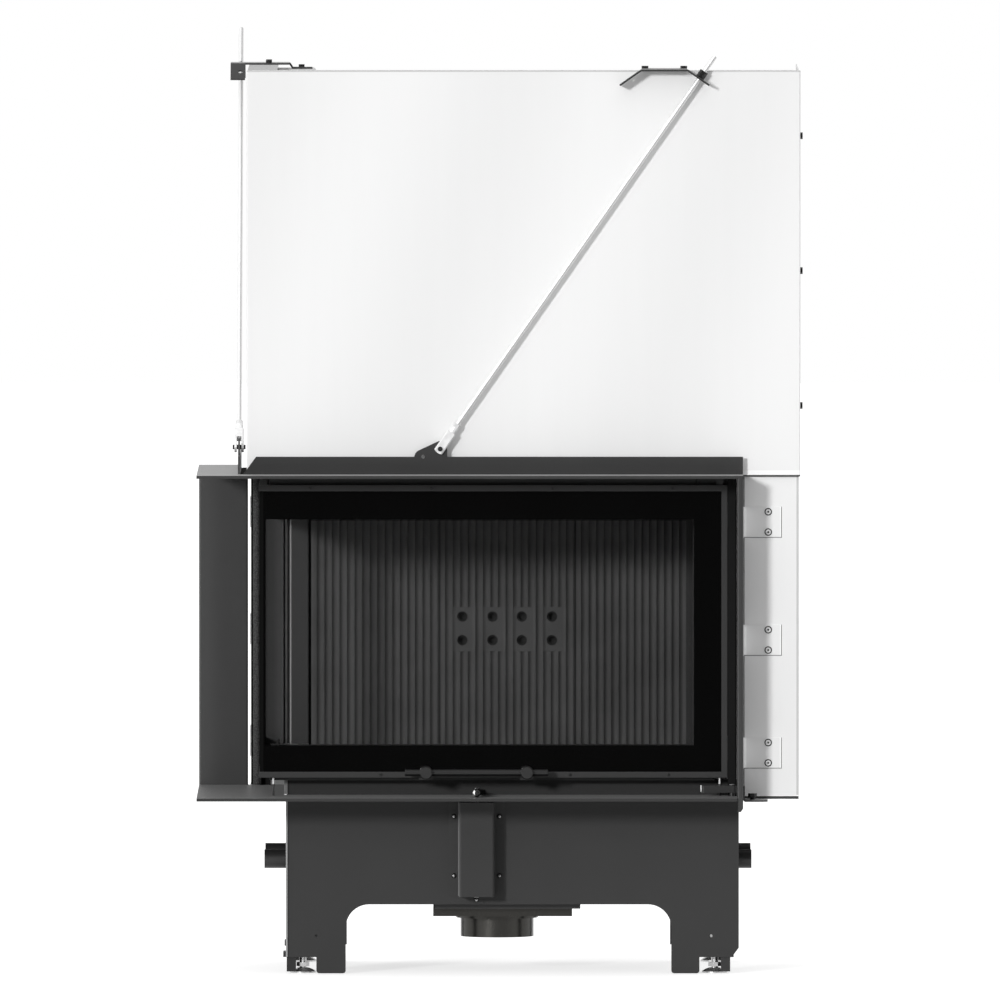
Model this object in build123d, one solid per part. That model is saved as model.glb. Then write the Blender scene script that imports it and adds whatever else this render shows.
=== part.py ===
from build123d import *
import os
from math import atan2, cos, degrees, hypot, radians, sin

# Corner fireplace insert with an L-shaped lift-up glass door.
# Millimetres, +Z up, floor at Z = 0, the front looks along -Y.
# The insert is glazed at the front and on the left. Most of what stands at the
# right end of the front stands again at the rear end of the left side, turned
# over the corner's diagonal, so such pieces are drawn once and copied.

# ---------------------------------------------------------------- frame
FRAME_LEFT = -516.0          # X of the building-in frame's left edge
FRAME_FRONT = -328.2         # Y of its front edge; centres the footprint on Y = 0
FRAME_RIGHT = 413.4          # X of its right end
LEG_DIFFERENCE = 390.0       # how much shorter the left leg is than the front leg
FRAME_TOP_Z = 854.0          # top face of the upper frame plate
FRAME_BOTTOM_Z = 305.0       # top face of the lower frame plate
FRAME_PLATE = 5.0
TOP_WING = 73.0              # width of the upper plate
BOTTOM_WING = 148.0          # width of the lower plate
UPSTAND_HEIGHT = 30.0
UPSTAND_SHEET = 3.0
UPSTAND_START = 79.0         # from the frame's corner to the upstand's low end
UPSTAND_SLOPE = 22.0         # run of the sloped end
JAMB_SHEET = 2.0
JAMB_WIDTH = 10.0            # width of the jamb's front fold
JAMB_DEPTH = 84.0
JAMB_LIP = 9.0
JAMB_TAIL = 23.0             # how far the right jamb's fold hangs below the plate
JAMB_TAIL_INSET = 1.5
JAMB_TAIL_CLIP = (4.0, 6.0)
JAMB_BEND = 0.8
PLATE_PLAY = 1.0             # round what passes through the lower plate
CORNER_BRACKET_DROP = 2.0    # its flat leg below the lower plate
CORNER_BRACKET_REACH = 42.0
CORNER_BRACKET_RISE = 27.0
CORNER_BRACKET_SHEET = 3.0
CORNER_BRACKET_SETBACKS = (30.0, 80.0)
CORNER_BRACKET_CLIP = 8.0
CORNER_BOLT_X = 16.0         # from the frame's end
CORNER_BOLT_SETBACK = 55.0
CORNER_BOLT_DIAMETER = 8.0
CORNER_BOLT_STAND = 4.0

# ---------------------------------------------------------------- casing
CASING_SETBACK = 85.0        # casing face behind the frame's front edge
CASING_RIGHT = 511.0
CASING_TOP_Z = 1540.5
CASING_REAR_TOP_Z = 1500.0
CASING_SHEET = 1.5
CASING_RETURN = 12.0         # vertical folds of the casing sheets
CASING_BEND = 0.8            # inner radius of those folds
CASING_TOP_RETURN = 50.0     # fold along the casing's top edge
LOWER_PANEL_SETBACK = 89.5
LOWER_PANEL_FOLD = 14.0
LOWER_PANEL_GAP = 0.6
SIDE_BOLT_HEIGHTS = (1426.5, 1196.5, 966.4)
SIDE_BOLT_SETBACK = 215.0
SIDE_BOLT_HEAD = 6.5
SIDE_BOLT_FLATS = 10.0
BEAD_HEIGHTS = (620.0, 940.0, 1260.0)     # stiffening beads of the rear sheet
BEAD_INSET = 60.0
BEAD_WIDTH = 16.0
BEAD_RADIUS = 11.0
CASING_LAP = 4.0             # how far the upper sheets reach down over the frame plate
BRACKET_HEIGHTS = (772.5, 571.5, 379.3)   # centres of the jamb brackets
BRACKET_HEIGHT = 51.6
BRACKET_SHEET = 2.0
BRACKET_RIGHT = 478.5
BRACKET_LEG = 30.0
SCREW_X = 456.5
SCREW_SPACING = 34.6
BRACKET_SCREW = (10.0, 4.0)  # head diameter and height

# ---------------------------------------------------------------- door
DOOR_SETBACK = 105.0
DOOR_THICK = 14.0
DOOR_RIGHT = 387.0
DOOR_BOTTOM_Z = 336.0
DOOR_TOP_Z = 834.0
DOOR_RAIL = 10.0
GLASS_THICK = 4.0
GLASS_INSET = 2.0            # glass face behind the rails' face
GLASS_BITE = 5.0             # how far the glass sits in the rails
GLASS_BEND = 1.5
GLASS_PLAY = 0.2
SEAL_THICK = 3.7
SEAL_WIDTH = 8.0
SEAL_INSET = 1.0
HANDLE_X = -40.0
HANDLE_Z = 345.5
HANDLE_BAR_DIAMETER = 12.0
HANDLE_BAR_LENGTH = 244.0
HANDLE_POST_DIAMETER = 22.0
HANDLE_POST_SPACING = 172.0
HANDLE_POST_LENGTH = 40.0
HANDLE_BAR_SETBACK = 14.0    # bar's axis behind the posts' ends
HANDLE_CHAMFERS = (0.8, 1.5)
HANDLE_FOOT = (24.0, 10.0, 13.0)
STRAP_X = 374.0              # line of the lift cable at the door
STRAP_SIZE = (12.0, 4.0, 46.0)
STRAP_CLIP = 3.0
DOOR_STOP_INSET = 130.0      # left door stop from the frame's left edge
DOOR_STOP_DIAMETER = 6.0
SEAT_GAP = 0.3               # between a moving piece and what it rests on
GLIDE_LENGTH = 40.0
GLIDE_OFFSETS = (30.0, 428.0)

# ---------------------------------------------------------------- lift mechanism
RAIL_SHEET = 2.0
RAIL_LEFT = 388.0
RAIL_RIGHT = 403.0
RAIL_TOP_Z = 1400.0
GLIDE_PLAY = 0.5
PULLEY_PITCH_RADIUS = 43.0
PULLEY_WIDTH = 12.0
PULLEY_RIM = 4.0
PULLEY_HUB_WALL = 7.0
PULLEY_WEB_RECESS = 3.0
PULLEY_LAND = 8.0            # width of the flat ring inside the groove
PULLEY_GROOVE_HALF = 2.4
PULLEY_HOLE_CIRCLE = 22.5
PULLEY_HOLE_DIAMETER = 10.0
PULLEY_HOLES = 5
AXLE_HEAD = (16.0, 5.0)
PULLEY_Z = 1470.0
AXLE_DIAMETER = 10.0
RUNNING_PLAY = 0.05
HANGER_SHEET = 2.0
HANGER_GAP = 1.0
HANGER_WIDTH = 48.0
HANGER_LAP = 20.0            # how far the hanger reaches down over the rail
CABLE_DIAMETER = 4.0
BEAM_SHEET = 3.0
BEAM_TOP_Z = 1533.0
BEAM_START = 96.0
BEAM_END = 200.0
BEAM_LIP = 25.0
WEIGHT_SIZE = (72.0, 28.0, 306.0)
WEIGHT_TOP_Z = 1396.0
WEIGHT_CHAMFER = 4.0
EYE_HEIGHT = 10.0
EYE_SECTION = (6.0, 12.0)

# ---------------------------------------------------------------- tie rods
ROD_DIAMETER = 8.0
PIVOT_X = -101.8
PIVOT_Z = 897.5
ROD_NUT_X = 342.6
ROD_NUT_Z = 1532.8
ROD_TIPS = (40.0, 82.0)      # rod past the bracket: front rod, side rod
ROD_CHAMFER = 1.0
ROD_HOLE_PLAY = 0.5
ROD_SHIFT = 252.0            # moves the front rod's copy along the left leg
FORK_WIDTH = 16.0
FORK_LENGTH = 42.0
FORK_SLOT = 8.0
FORK_SLOT_LENGTH = 25.0
FORK_REACH = 8.0             # fork end past the pin
FORK_NECK_DIAMETER = 13.0
FORK_NECK_LENGTH = 11.0
FORK_CHAMFER = 2.0
PIN_LENGTH = 22.0
PIN_DIAMETER = 8.0
LUG_WIDTH = 56.0
LUG_HEIGHT = 27.0
LUG_SHOULDER = 11.0          # height where its rounded end meets the slope
LUG_EDGE = 12.0              # from the pin to the lug's right edge
LUG_CLIP = (14.0, 7.0)
LUG_NOSE = 8.0
LUG_HOLE_OFFSET = 29.0
LUG_HOLE_DIAMETER = 6.0
NUT_SIZE = 13.0
NUT_HEIGHT = 6.5
TOP_BRACKET_SHEET = 3.0
TOP_BRACKET_BEND = 3.0
TOP_BRACKET_LEFT = 241.0
TOP_BRACKET_STRIP = 77.5
TOP_BRACKET_FRONT = 54.6
TOP_BRACKET_WING = 44.5
TOP_BRACKET_WING_WIDTH = 25.0
TOP_BRACKET_PLATE_END = 155.0
TOP_BRACKET_STEP = 5.0       # run of the step down to the tail
TOP_BRACKET_TAIL_END = 194.6
TOP_BRACKET_TAIL = 26.0
TOP_BRACKET_BOLTS = 66.0
TOP_BRACKET_BOLT_SETBACK = 120.0
TOP_BRACKET_TAIL_BOLT = 176.0
BOLT_HEAD = (10.0, 4.5)      # across its flats, and its height

# ---------------------------------------------------------------- firebox
STEEL = 4.0
FIRE_RIGHT = 330.0           # X of the right lining's face
FIRE_BACK = 480.0            # back lining's face behind the frame's front edge
LINING = 30.0
LINING_LEFT = FRAME_LEFT + 192.5
LINING_GAP = 4.5             # between the slabs and the folded post
LINING_TOP_Z = 772.0
LINING_FLOOR_Z = 377.0
SHELL_FLOOR_Z = 335.0
SHELL_TOP_Z = 872.0
LINTEL_BOTTOM_Z = 800.0
SILL_TOP_Z = 371.0
DOOR_FACE_GAP = 0.3          # seal to firebox face
FIREBOX_FACE = DOOR_SETBACK + DOOR_THICK + SEAL_THICK + DOOR_FACE_GAP
POST_INNER_X = 333.0
POST_SHEET = 3.0
POST_RETURN = 30.0
REAR_POST_FOLDS = ((21.0, 8.0), (33.0, 28.0), (33.0, 6.0))   # inwards, past the back face
DOME_TOP_Z = 1060.0
FLUE_X = -10.0
FLUE_SETBACK = 330.0
FLUE_RADIUS = 100.75         # inside of the collar, for a 200 mm pipe
FLUE_SHEET = 3.0
FLUE_COLLAR_HEIGHT = 70.0
FLUE_FOOT_RING = 12.0
DOME_CORNER = 20.0
TILE_JOINTS = (-103.0, 129.0)
TILE_GAP = 0.6
RIB_MARGIN = 26.5             # first rib's centre from the lining's left end
RIB_FIRST_X = LINING_LEFT + RIB_MARGIN
RIB_PITCH = 13.0
RIB_WIDTH = 6.4
RIB_HEIGHT = 3.5
PORT_COLUMNS = (-64.3, -12.7, 37.5, 89.1)
PORT_ROWS = (555.2, 595.8)
PORT_PAD = (27.0, 74.0)
PORT_RECESS_DIAMETER = 19.0
PORT_RECESS_DEPTH = 4.0
PORT_DIAMETER = 9.0
PORT_PAD_CORNER = 6.0
BAFFLE_THICK = 25.0
BAFFLE_FRONT = 230.0
BAFFLE_LAP = 15.0            # how far it rests on the right and back slabs
FLOOR_PLAY = 1.0
RETAINER_HEIGHT = 10.0
RETAINER_INSET = 8.0

# ---------------------------------------------------------------- base
BASE_SETBACK = 154.0
BASE_LEFT = FRAME_LEFT + BASE_SETBACK
BASE_RIGHT = 407.0
BASE_CLIP = (12.0, 16.0)                   # clipped lower right corner
BASE_REAR = 600.0
SIDE_SHEETS = (BASE_LEFT - 1.6, 392.4)     # outer faces of the base's side sheets
SIDE_FOOT_Z = 3.0
SIDE_FOOT_FOLD = 16.0                      # inward fold of the side sheets' legs
SIDE_LEG = 46.0                            # length of each side leg
BASE_SHEET = 3.0
BASE_TOP_Z = 331.0
BASE_TOP_RIM = (40.0, 45.0, 90.0)          # folded-in rim: left, right, rear
ARCH_TOP_Z = 117.6
ARCH_RADIUS = 40.0
LEG_FOOT_Z = 27.6            # underside where the screwed feet stand
LEFT_LEG = (BASE_LEFT + 49.0, BASE_LEFT + 99.0)
RIGHT_LEG = (292.0, 340.0)
LEG_CORNER = 5.0
BASE_HOLE_Z = 64.0
BASE_HOLE_INSET = 20.0
BASE_HOLE_DIAMETER = 5.0
TUBE_DIAMETER = 32.0
TUBE_WALL = 3.0
TUBE_Z = 192.5
TUBE_SETBACKS = (220.0, 457.0)
TUBE_LEFT = BASE_LEFT - 39.8
TUBE_RIGHT = 429.0
FOOT_X = (BASE_LEFT + 26.0, 366.0)
FOOT_SETBACKS = (182.0, 572.0)
FOOT_SCREW_DIAMETER = 12.0
FOOT_SCREW_TOP = 72.0
FOOT_PAD_DIAMETER = 44.0
FOOT_PAD_HEIGHT = 9.0
FOOT_PAD_RIM = 2.5
FOOT_COLLAR = 2.0
FOOT_NUT_SIZE = 19.0
FOOT_NUT_HEIGHT = 7.0
FOOT_PLATE = 9.0
FOOT_PLATE_LAP = 6.0          # how far it stands out of the side sheet
AIR_BOX = (-112.0, 137.0, 180.0, 424.0)    # left, right, front, rear setbacks
AIR_BOX_BOTTOM_Z = 109.0
AIR_BOX_TOP_Z = 172.0
AIR_RISER = (-80.0, 90.0, 245.0, 424.0)
AIR_SHEET = 2.0
SPIGOT_X = -5.0
SPIGOT_SETBACK = 300.0
SPIGOT_DIAMETER = 125.0
SPIGOT_WALL = 1.5
SPIGOT_BOTTOM_Z = 57.0
SPIGOT_PLATE = (-114.0, 123.0, 205.0, 395.0)
SPIGOT_PLATE_HEIGHT = 14.0
SPIGOT_RING_DIAMETER = 140.0
SPIGOT_RING_HEIGHT = 6.0
COVER_X = (-69.6, -9.8)
COVER_DEPTH = 40.0
COVER_Z = (132.0, 293.0)
COVER_FLANGE = 18.0
COVER_SHEET = 2.0
COVER_TAB = (24.0, 13.0)     # width, and drop below the cover
COVER_END_INSET = 1.0
COVER_SCREW = (8.0, 3.2)     # head diameter and height
COVER_SCREW_HEIGHTS = (268.0, 166.6)
COVER_TAB_SCREW_Z = 125.5
LEVER_X = -40.0
LEVER_SETBACK = 134.0
LEVER_Z = 312.7
LEVER_ROD_DIAMETER = 8.0
LEVER_SHAFT_DIAMETER = 10.0
LEVER_LENGTH = 92.0
LEVER_ARM_Z = 146.0
LEVER_ARM_THICK = 5.0
LEVER_ARM_WIDTH = 14.0
LEVER_COLLAR_DIAMETER = 18.0
LEVER_SHAFT_RISE = 5.0       # shaft above the lever's axis
LEVER_SHAFT_DROP = 2.0       # shaft below the cover
GATE_PIN_DIAMETER = 10.0
GATE_PLAY = 0.4
ARM_PLAY = 3.0
LEVER_REST_OPENING = 17.0    # degrees the gate stands open at rest
LEVER_FURTHER_OPENING = 12.0 # degrees it can be opened beyond that
GATE_DIAMETER = 122.0
GATE_THICK = 2.0
KNOB_DIAMETER = 14.0
KNOB_LENGTH = 14.0
KNOB_ROUND = 4.0
KNOB_CHAMFER = 2.0
LOCK_X = (342.0, 403.0)
LOCK_Z = 311.0
LOCK_HEIGHT = 12.0
LOCK_SETBACK = 90.0
LOCK_THICK = 10.0
LOCK_PIVOT_DIAMETER = 6.0
LOCK_PIVOT_INSET = 8.0
LOCK_PIVOT_SHOULDER = 10.0
LOCK_PIVOT_HEAD = 2.0


# ================================================================ helpers
def behind(setback):
    """Y of a plane that lies this far behind the frame's front edge."""
    return FRAME_FRONT + setback


def side_end(x_end):
    """Y on the left leg that answers to an X on the front leg."""
    return behind(x_end - FRAME_LEFT - LEG_DIFFERENCE)


def side_copy(part, shift=LEG_DIFFERENCE):
    """The piece turned over the corner's diagonal and moved along the left leg."""
    diagonal = Plane(origin=(FRAME_LEFT, FRAME_FRONT, 0), z_dir=(1, -1, 0))
    return Pos(0, -shift, 0) * mirror(part, about=diagonal)


def face_of(points):
    """A flat face through the points."""
    return make_face(Polyline(*points, close=True))


def upright(face, z0, z1):
    """A plan outline raised between two heights."""
    return extrude(Pos(0, 0, z0) * face, amount=z1 - z0, dir=(0, 0, 1))


def across(face, x0, x1):
    """A (Y, Z) outline run along X."""
    plane = Plane(origin=(x0, 0, 0), x_dir=(0, 1, 0), z_dir=(1, 0, 0))
    return extrude(plane * face, amount=x1 - x0)


def deep(face, y0, y1):
    """An (X, Z) outline run along Y."""
    plane = Plane(origin=(0, y1, 0), x_dir=(1, 0, 0), z_dir=(0, -1, 0))
    return extrude(plane * face, amount=y1 - y0)


def rectangle(x0, x1, y0, y1):
    """A rectangle between two corners, as a face."""
    return face_of([(x0, y0), (x1, y0), (x1, y1), (x0, y1)])


def slab(x0, x1, y0, y1, z0, z1):
    """A plain plate or bar between two corners."""
    return upright(rectangle(x0, x1, y0, y1), z0, z1)


def rod_along(start, direction, radius, length):
    """A round bar from a point along a direction."""
    plane = Plane(origin=start, z_dir=direction)
    return extrude(plane * Circle(radius), amount=length)


def hexagon_along(start, direction, size, height, bore=0.0):
    """A hexagon nut or bolt head, given across its flats."""
    plane = Plane(origin=start, z_dir=direction)
    outline = RegularPolygon(radius=size / 2, side_count=6, major_radius=False)
    if bore:
        outline = outline - Circle(bore / 2)
    return extrude(plane * outline, amount=height)


def folded_face(points, sheet, bend=1.5):
    """The section of a folded sheet: one skin follows the points, and the sheet
    lies to their left. Bends are round, with the given inner radius."""
    skins = [list(points), []]
    for i, (x, y) in enumerate(points):
        before = points[i - 1] if i else None
        after = points[i + 1] if i + 1 < len(points) else None
        normals = []
        for a, b in ((before, (x, y)), ((x, y), after)):
            if a and b:
                run = hypot(b[0] - a[0], b[1] - a[1])
                normals.append(((a[1] - b[1]) / run, (b[0] - a[0]) / run))
        nx = sum(n[0] for n in normals)
        ny = sum(n[1] for n in normals)
        size = nx * normals[0][0] + ny * normals[0][1]
        skins[1].append((x + nx * sheet / size, y + ny * sheet / size))
    radii = [[], []]
    for a, b, c in zip(points, points[1:], points[2:]):
        turn = (b[0] - a[0]) * (c[1] - b[1]) - (b[1] - a[1]) * (c[0] - b[0])
        radii[0].append(bend + sheet if turn > 0 else bend)
        radii[1].append(bend if turn > 0 else bend + sheet)
    lines = Curve()
    for skin, radius in zip(skins, radii):
        lines += FilletPolyline(*skin, radius=radius) if radius else Line(*skin)
    lines += Line(skins[0][0], skins[1][0])
    lines += Line(skins[0][-1], skins[1][-1])
    return make_face(lines)


def corner_band(outer, inner, x_end):
    """Plan outline of a strip that runs round the corner, between two setbacks
    from the frame's edges, and ends at x_end and at its answer on the left leg."""
    y_end = side_end(x_end)
    return face_of([
        (FRAME_LEFT + outer, behind(outer)),
        (x_end, behind(outer)),
        (x_end, behind(inner)),
        (FRAME_LEFT + inner, behind(inner)),
        (FRAME_LEFT + inner, y_end),
        (FRAME_LEFT + outer, y_end),
    ])


def pan_screw(position, direction, diameter, height):
    """A domed screw head that sits on a face."""
    head = extrude(Circle(diameter / 2), amount=height)
    head = fillet(head.edges().group_by(Axis.Z)[-1], height * 0.6)
    return Plane(origin=position, z_dir=direction) * head


def save(node, *solids):
    """Writes one node, as one solid or as a group of separate ones."""
    pieces = []
    for solid in solids:
        pieces.extend(solid.solids())
    shape = pieces[0] if len(pieces) == 1 else Compound(children=pieces)
    export_step(shape, os.path.join("parts", node + ".step"))


# ================================================================ frame
def frame_upstand(lug_x, x_end):
    """The upper plate's upstand, with the tie rod's lug standing on it."""
    top = FRAME_TOP_Z + UPSTAND_HEIGHT
    start = FRAME_LEFT + UPSTAND_START
    outline = face_of([
        (start, FRAME_TOP_Z),
        (x_end, FRAME_TOP_Z),
        (x_end, top),
        (start + UPSTAND_SLOPE, top),
    ])
    right = lug_x + LUG_EDGE
    left = right - LUG_WIDTH
    clip_x, clip_z = LUG_CLIP
    lug = make_face([
        Line((left, FRAME_TOP_Z), (right, FRAME_TOP_Z)),
        Line((right, FRAME_TOP_Z), (right, top + LUG_HEIGHT - clip_z)),
        Line((right, top + LUG_HEIGHT - clip_z), (right - clip_x, top + LUG_HEIGHT)),
        Line((right - clip_x, top + LUG_HEIGHT), (left + LUG_NOSE, top + LUG_SHOULDER)),
        ThreePointArc(
            (left + LUG_NOSE, top + LUG_SHOULDER),
            (left + LUG_NOSE * 0.3, top + LUG_SHOULDER * 0.6), (left, top)),
        Line((left, top), (left, FRAME_TOP_Z)),
    ])
    holes = Pos(lug_x, PIVOT_Z) * Circle(PIN_DIAMETER / 2 + RUNNING_PLAY)
    holes += Pos(lug_x - LUG_HOLE_OFFSET, top) * Circle(LUG_HOLE_DIAMETER / 2)
    return deep(outline + lug - holes, behind(TOP_WING - UPSTAND_SHEET), behind(TOP_WING))


def frame_top_flange():
    """The upper L-shaped plate that carries the masonry, with its upstands."""
    plate = upright(corner_band(0, TOP_WING, FRAME_RIGHT), FRAME_TOP_Z - FRAME_PLATE, FRAME_TOP_Z)
    front = frame_upstand(PIVOT_X, FRAME_RIGHT)
    side = frame_upstand(PIVOT_X - ROD_SHIFT, FRAME_RIGHT - LEG_DIFFERENCE)
    return plate + front + side_copy(side, shift=0)


def frame_bottom_flange():
    """The lower L-shaped plate, with the hole for the air lever's shaft."""
    outline = corner_band(0, BOTTOM_WING, FRAME_RIGHT)
    outline -= rectangle(
        FRAME_RIGHT - JAMB_WIDTH, FRAME_RIGHT, behind(0), behind(JAMB_SHEET + PLATE_PLAY))
    outline -= Pos(LEVER_X, behind(LEVER_SETBACK)) * Circle(LEVER_SHAFT_DIAMETER / 2 + PLATE_PLAY)
    return upright(outline, FRAME_BOTTOM_Z - FRAME_PLATE, FRAME_BOTTOM_Z)


def jamb_section():
    """Plan section of the right jamb: a channel with a narrow fold at the front."""
    left = FRAME_RIGHT - JAMB_WIDTH
    return folded_face([
        (FRAME_RIGHT, behind(JAMB_LIP)),
        (FRAME_RIGHT, behind(0)),
        (left, behind(0)),
        (left, behind(JAMB_DEPTH)),
        (FRAME_RIGHT, behind(JAMB_DEPTH)),
        (FRAME_RIGHT, behind(JAMB_DEPTH - JAMB_LIP)),
    ][::-1], JAMB_SHEET, JAMB_BEND)


def frame_jamb():
    """The upright between the two plates at the end of the front leg."""
    return upright(jamb_section(), FRAME_BOTTOM_Z, FRAME_TOP_Z - FRAME_PLATE)


def frame_right_jamb():
    """The right jamb, whose front fold runs on past the lower plate."""
    left = FRAME_RIGHT - JAMB_WIDTH
    foot = FRAME_BOTTOM_Z - JAMB_TAIL
    clip_x, clip_z = JAMB_TAIL_CLIP
    tail = face_of([
        (left + JAMB_TAIL_INSET, FRAME_BOTTOM_Z),
        (left + JAMB_TAIL_INSET, foot),
        (FRAME_RIGHT - clip_x, foot),
        (FRAME_RIGHT, foot + clip_z),
        (FRAME_RIGHT, FRAME_BOTTOM_Z),
    ])
    return frame_jamb() + deep(tail, behind(0), behind(JAMB_SHEET))


def corner_bracket():
    """The angle that ties the right jamb to the lower plate's end."""
    low = FRAME_BOTTOM_Z - FRAME_PLATE - CORNER_BRACKET_DROP
    near, far = CORNER_BRACKET_SETBACKS
    section = folded_face([
        (FRAME_RIGHT, low + CORNER_BRACKET_RISE),
        (FRAME_RIGHT, low),
        (FRAME_RIGHT + CORNER_BRACKET_REACH, low),
    ], CORNER_BRACKET_SHEET)
    angle = deep(section, behind(near), behind(far))
    corner = angle.edges().filter_by(Axis.Z).sort_by(Axis.X)[-2:]
    return chamfer(corner, CORNER_BRACKET_CLIP)


def corner_bolt():
    """The bolt and nut that stand on the corner bracket."""
    x = FRAME_RIGHT + CORNER_BOLT_X
    y = behind(CORNER_BOLT_SETBACK)
    low = FRAME_BOTTOM_Z - FRAME_PLATE - CORNER_BRACKET_DROP + CORNER_BRACKET_SHEET
    shank = rod_along((x, y, low), (0, 0, 1), CORNER_BOLT_DIAMETER / 2, CORNER_BOLT_STAND)
    head = hexagon_along((x, y, low + CORNER_BOLT_STAND), (0, 0, 1), NUT_SIZE, NUT_HEIGHT)
    return shank + head


def jamb_bracket(height):
    """One galvanised angle between the jamb and the lower casing panel."""
    skin = LOWER_PANEL_SETBACK
    section = folded_face([
        (BRACKET_RIGHT, behind(skin)),
        (FRAME_RIGHT, behind(skin)),
        (FRAME_RIGHT, behind(skin - BRACKET_LEG)),
    ], BRACKET_SHEET, bend=1.5)
    return upright(section, height - BRACKET_HEIGHT / 2, height + BRACKET_HEIGHT / 2)


def jamb_bracket_screws(height):
    """The two screws that hold a jamb bracket to the casing panel."""
    face = behind(LOWER_PANEL_SETBACK - BRACKET_SHEET)
    heads = Part()
    for step in (-0.5, 0.5):
        spot = (SCREW_X, face, height + step * SCREW_SPACING)
        heads += pan_screw(spot, (0, -1, 0), *BRACKET_SCREW)
    return heads


# ================================================================ tie rods
ROD_LEAN = degrees(atan2(ROD_NUT_X - PIVOT_X, ROD_NUT_Z - PIVOT_Z))
ROD_RUN = hypot(ROD_NUT_X - PIVOT_X, ROD_NUT_Z - PIVOT_Z)
ROD_SETBACK = TOP_WING - UPSTAND_SHEET / 2
WING_START = (TOP_BRACKET_LEFT + TOP_BRACKET_STRIP - PIVOT_X, CASING_TOP_Z - PIVOT_Z)
ROD_WING = WING_START[0] * sin(radians(ROD_LEAN)) + WING_START[1] * cos(radians(ROD_LEAN))


def on_rod(part):
    """Moves a piece drawn on the Z axis onto the front tie rod's line."""
    return Pos(PIVOT_X, behind(ROD_SETBACK), PIVOT_Z) * Rot(0, ROD_LEAN, 0) * part


def tie_rod(tip):
    """The long threaded rod, screwed into its fork."""
    start = FORK_SLOT_LENGTH - FORK_REACH
    rod = Cylinder(
        ROD_DIAMETER / 2, ROD_RUN + tip - start,
        align=(Align.CENTER, Align.CENTER, Align.MIN),
    )
    ends = rod.edges().filter_by(GeomType.CIRCLE)
    return on_rod(Pos(0, 0, start) * chamfer(ends, ROD_CHAMFER))


def tie_rod_fork():
    """The fork head: a slotted body with a round end, bored for its pin, and a neck."""
    half = FORK_WIDTH / 2
    shoulder = FORK_LENGTH - FORK_REACH
    outline = make_face([
        ThreePointArc((-half, -FORK_REACH * 0.7), (0, -FORK_REACH), (half, -FORK_REACH * 0.7)),
        Line((half, -FORK_REACH * 0.7), (half, shoulder)),
        Line((half, shoulder), (-half, shoulder)),
        Line((-half, shoulder), (-half, -FORK_REACH * 0.7)),
    ])
    body = chamfer(deep(outline, -half, half).edges().filter_by(Axis.Z), FORK_CHAMFER)
    slot_end = FORK_SLOT_LENGTH - FORK_REACH
    body -= slab(-FORK_WIDTH, FORK_WIDTH, -FORK_SLOT / 2, FORK_SLOT / 2, -FORK_WIDTH, slot_end)
    neck = rod_along((0, 0, shoulder), (0, 0, 1), FORK_NECK_DIAMETER / 2, FORK_NECK_LENGTH)
    pin_bore = rod_along((0, -FORK_WIDTH, 0), (0, 1, 0), PIN_DIAMETER / 2 + RUNNING_PLAY, 2 * FORK_WIDTH)
    rod_bore = rod_along((0, 0, 0), (0, 0, 1), ROD_DIAMETER / 2, 2 * FORK_LENGTH)
    return on_rod(body + neck - pin_bore - rod_bore)


def tie_rod_hardware():
    """The pin through the fork and the fork's lock nut."""
    pin = Rot(90, 0, 0) * Cylinder(PIN_DIAMETER / 2, PIN_LENGTH)
    return [on_rod(pin), rod_nut(FORK_LENGTH - FORK_REACH + FORK_NECK_LENGTH)]


def rod_nut(base):
    """A nut on the rod; base is its distance from the pivot along the rod."""
    return on_rod(hexagon_along((0, 0, base), (0, 0, 1), NUT_SIZE, NUT_HEIGHT, ROD_DIAMETER))


def top_bracket_nuts():
    """The nut and its counter nut on top of the bracket's wing."""
    seat = ROD_WING + TOP_BRACKET_SHEET
    return [rod_nut(seat), rod_nut(seat + NUT_HEIGHT)]


def top_bracket():
    """The plate on the casing's edge: two wings bent down, and a stepped tail."""
    x0 = TOP_BRACKET_LEFT
    x1 = x0 + TOP_BRACKET_STRIP
    middle = (x0 + x1) / 2
    low = CASING_TOP_Z
    front = behind(TOP_BRACKET_FRONT)
    fall = TOP_BRACKET_WING * sin(radians(ROD_LEAN))
    out = TOP_BRACKET_WING * cos(radians(ROD_LEAN))
    wings = deep(folded_face([
        (x0 - out, low - fall),
        (x0, low),
        (x1, low),
        (x1 + out, low - fall),
    ], TOP_BRACKET_SHEET, TOP_BRACKET_BEND), front, front + TOP_BRACKET_WING_WIDTH)
    plate = slab(x0, x1, front, behind(TOP_BRACKET_PLATE_END), low, low + TOP_BRACKET_SHEET)
    step_y = behind(TOP_BRACKET_PLATE_END)
    tail = across(folded_face([
        (step_y - TOP_BRACKET_STEP, low),
        (step_y, low),
        (step_y + TOP_BRACKET_STEP, BEAM_TOP_Z),
        (behind(TOP_BRACKET_TAIL_END), BEAM_TOP_Z),
    ], TOP_BRACKET_SHEET, bend=0.5), middle - TOP_BRACKET_TAIL / 2, middle + TOP_BRACKET_TAIL / 2)
    bracket = wings + plate + tail
    hole = on_rod(Pos(0, 0, ROD_RUN) * Cylinder(ROD_DIAMETER / 2 + ROD_HOLE_PLAY, FORK_LENGTH))
    mirrored_hole = mirror(hole, about=Plane(origin=(middle, 0, 0), z_dir=(1, 0, 0)))
    return bracket - hole - mirrored_hole


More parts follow.
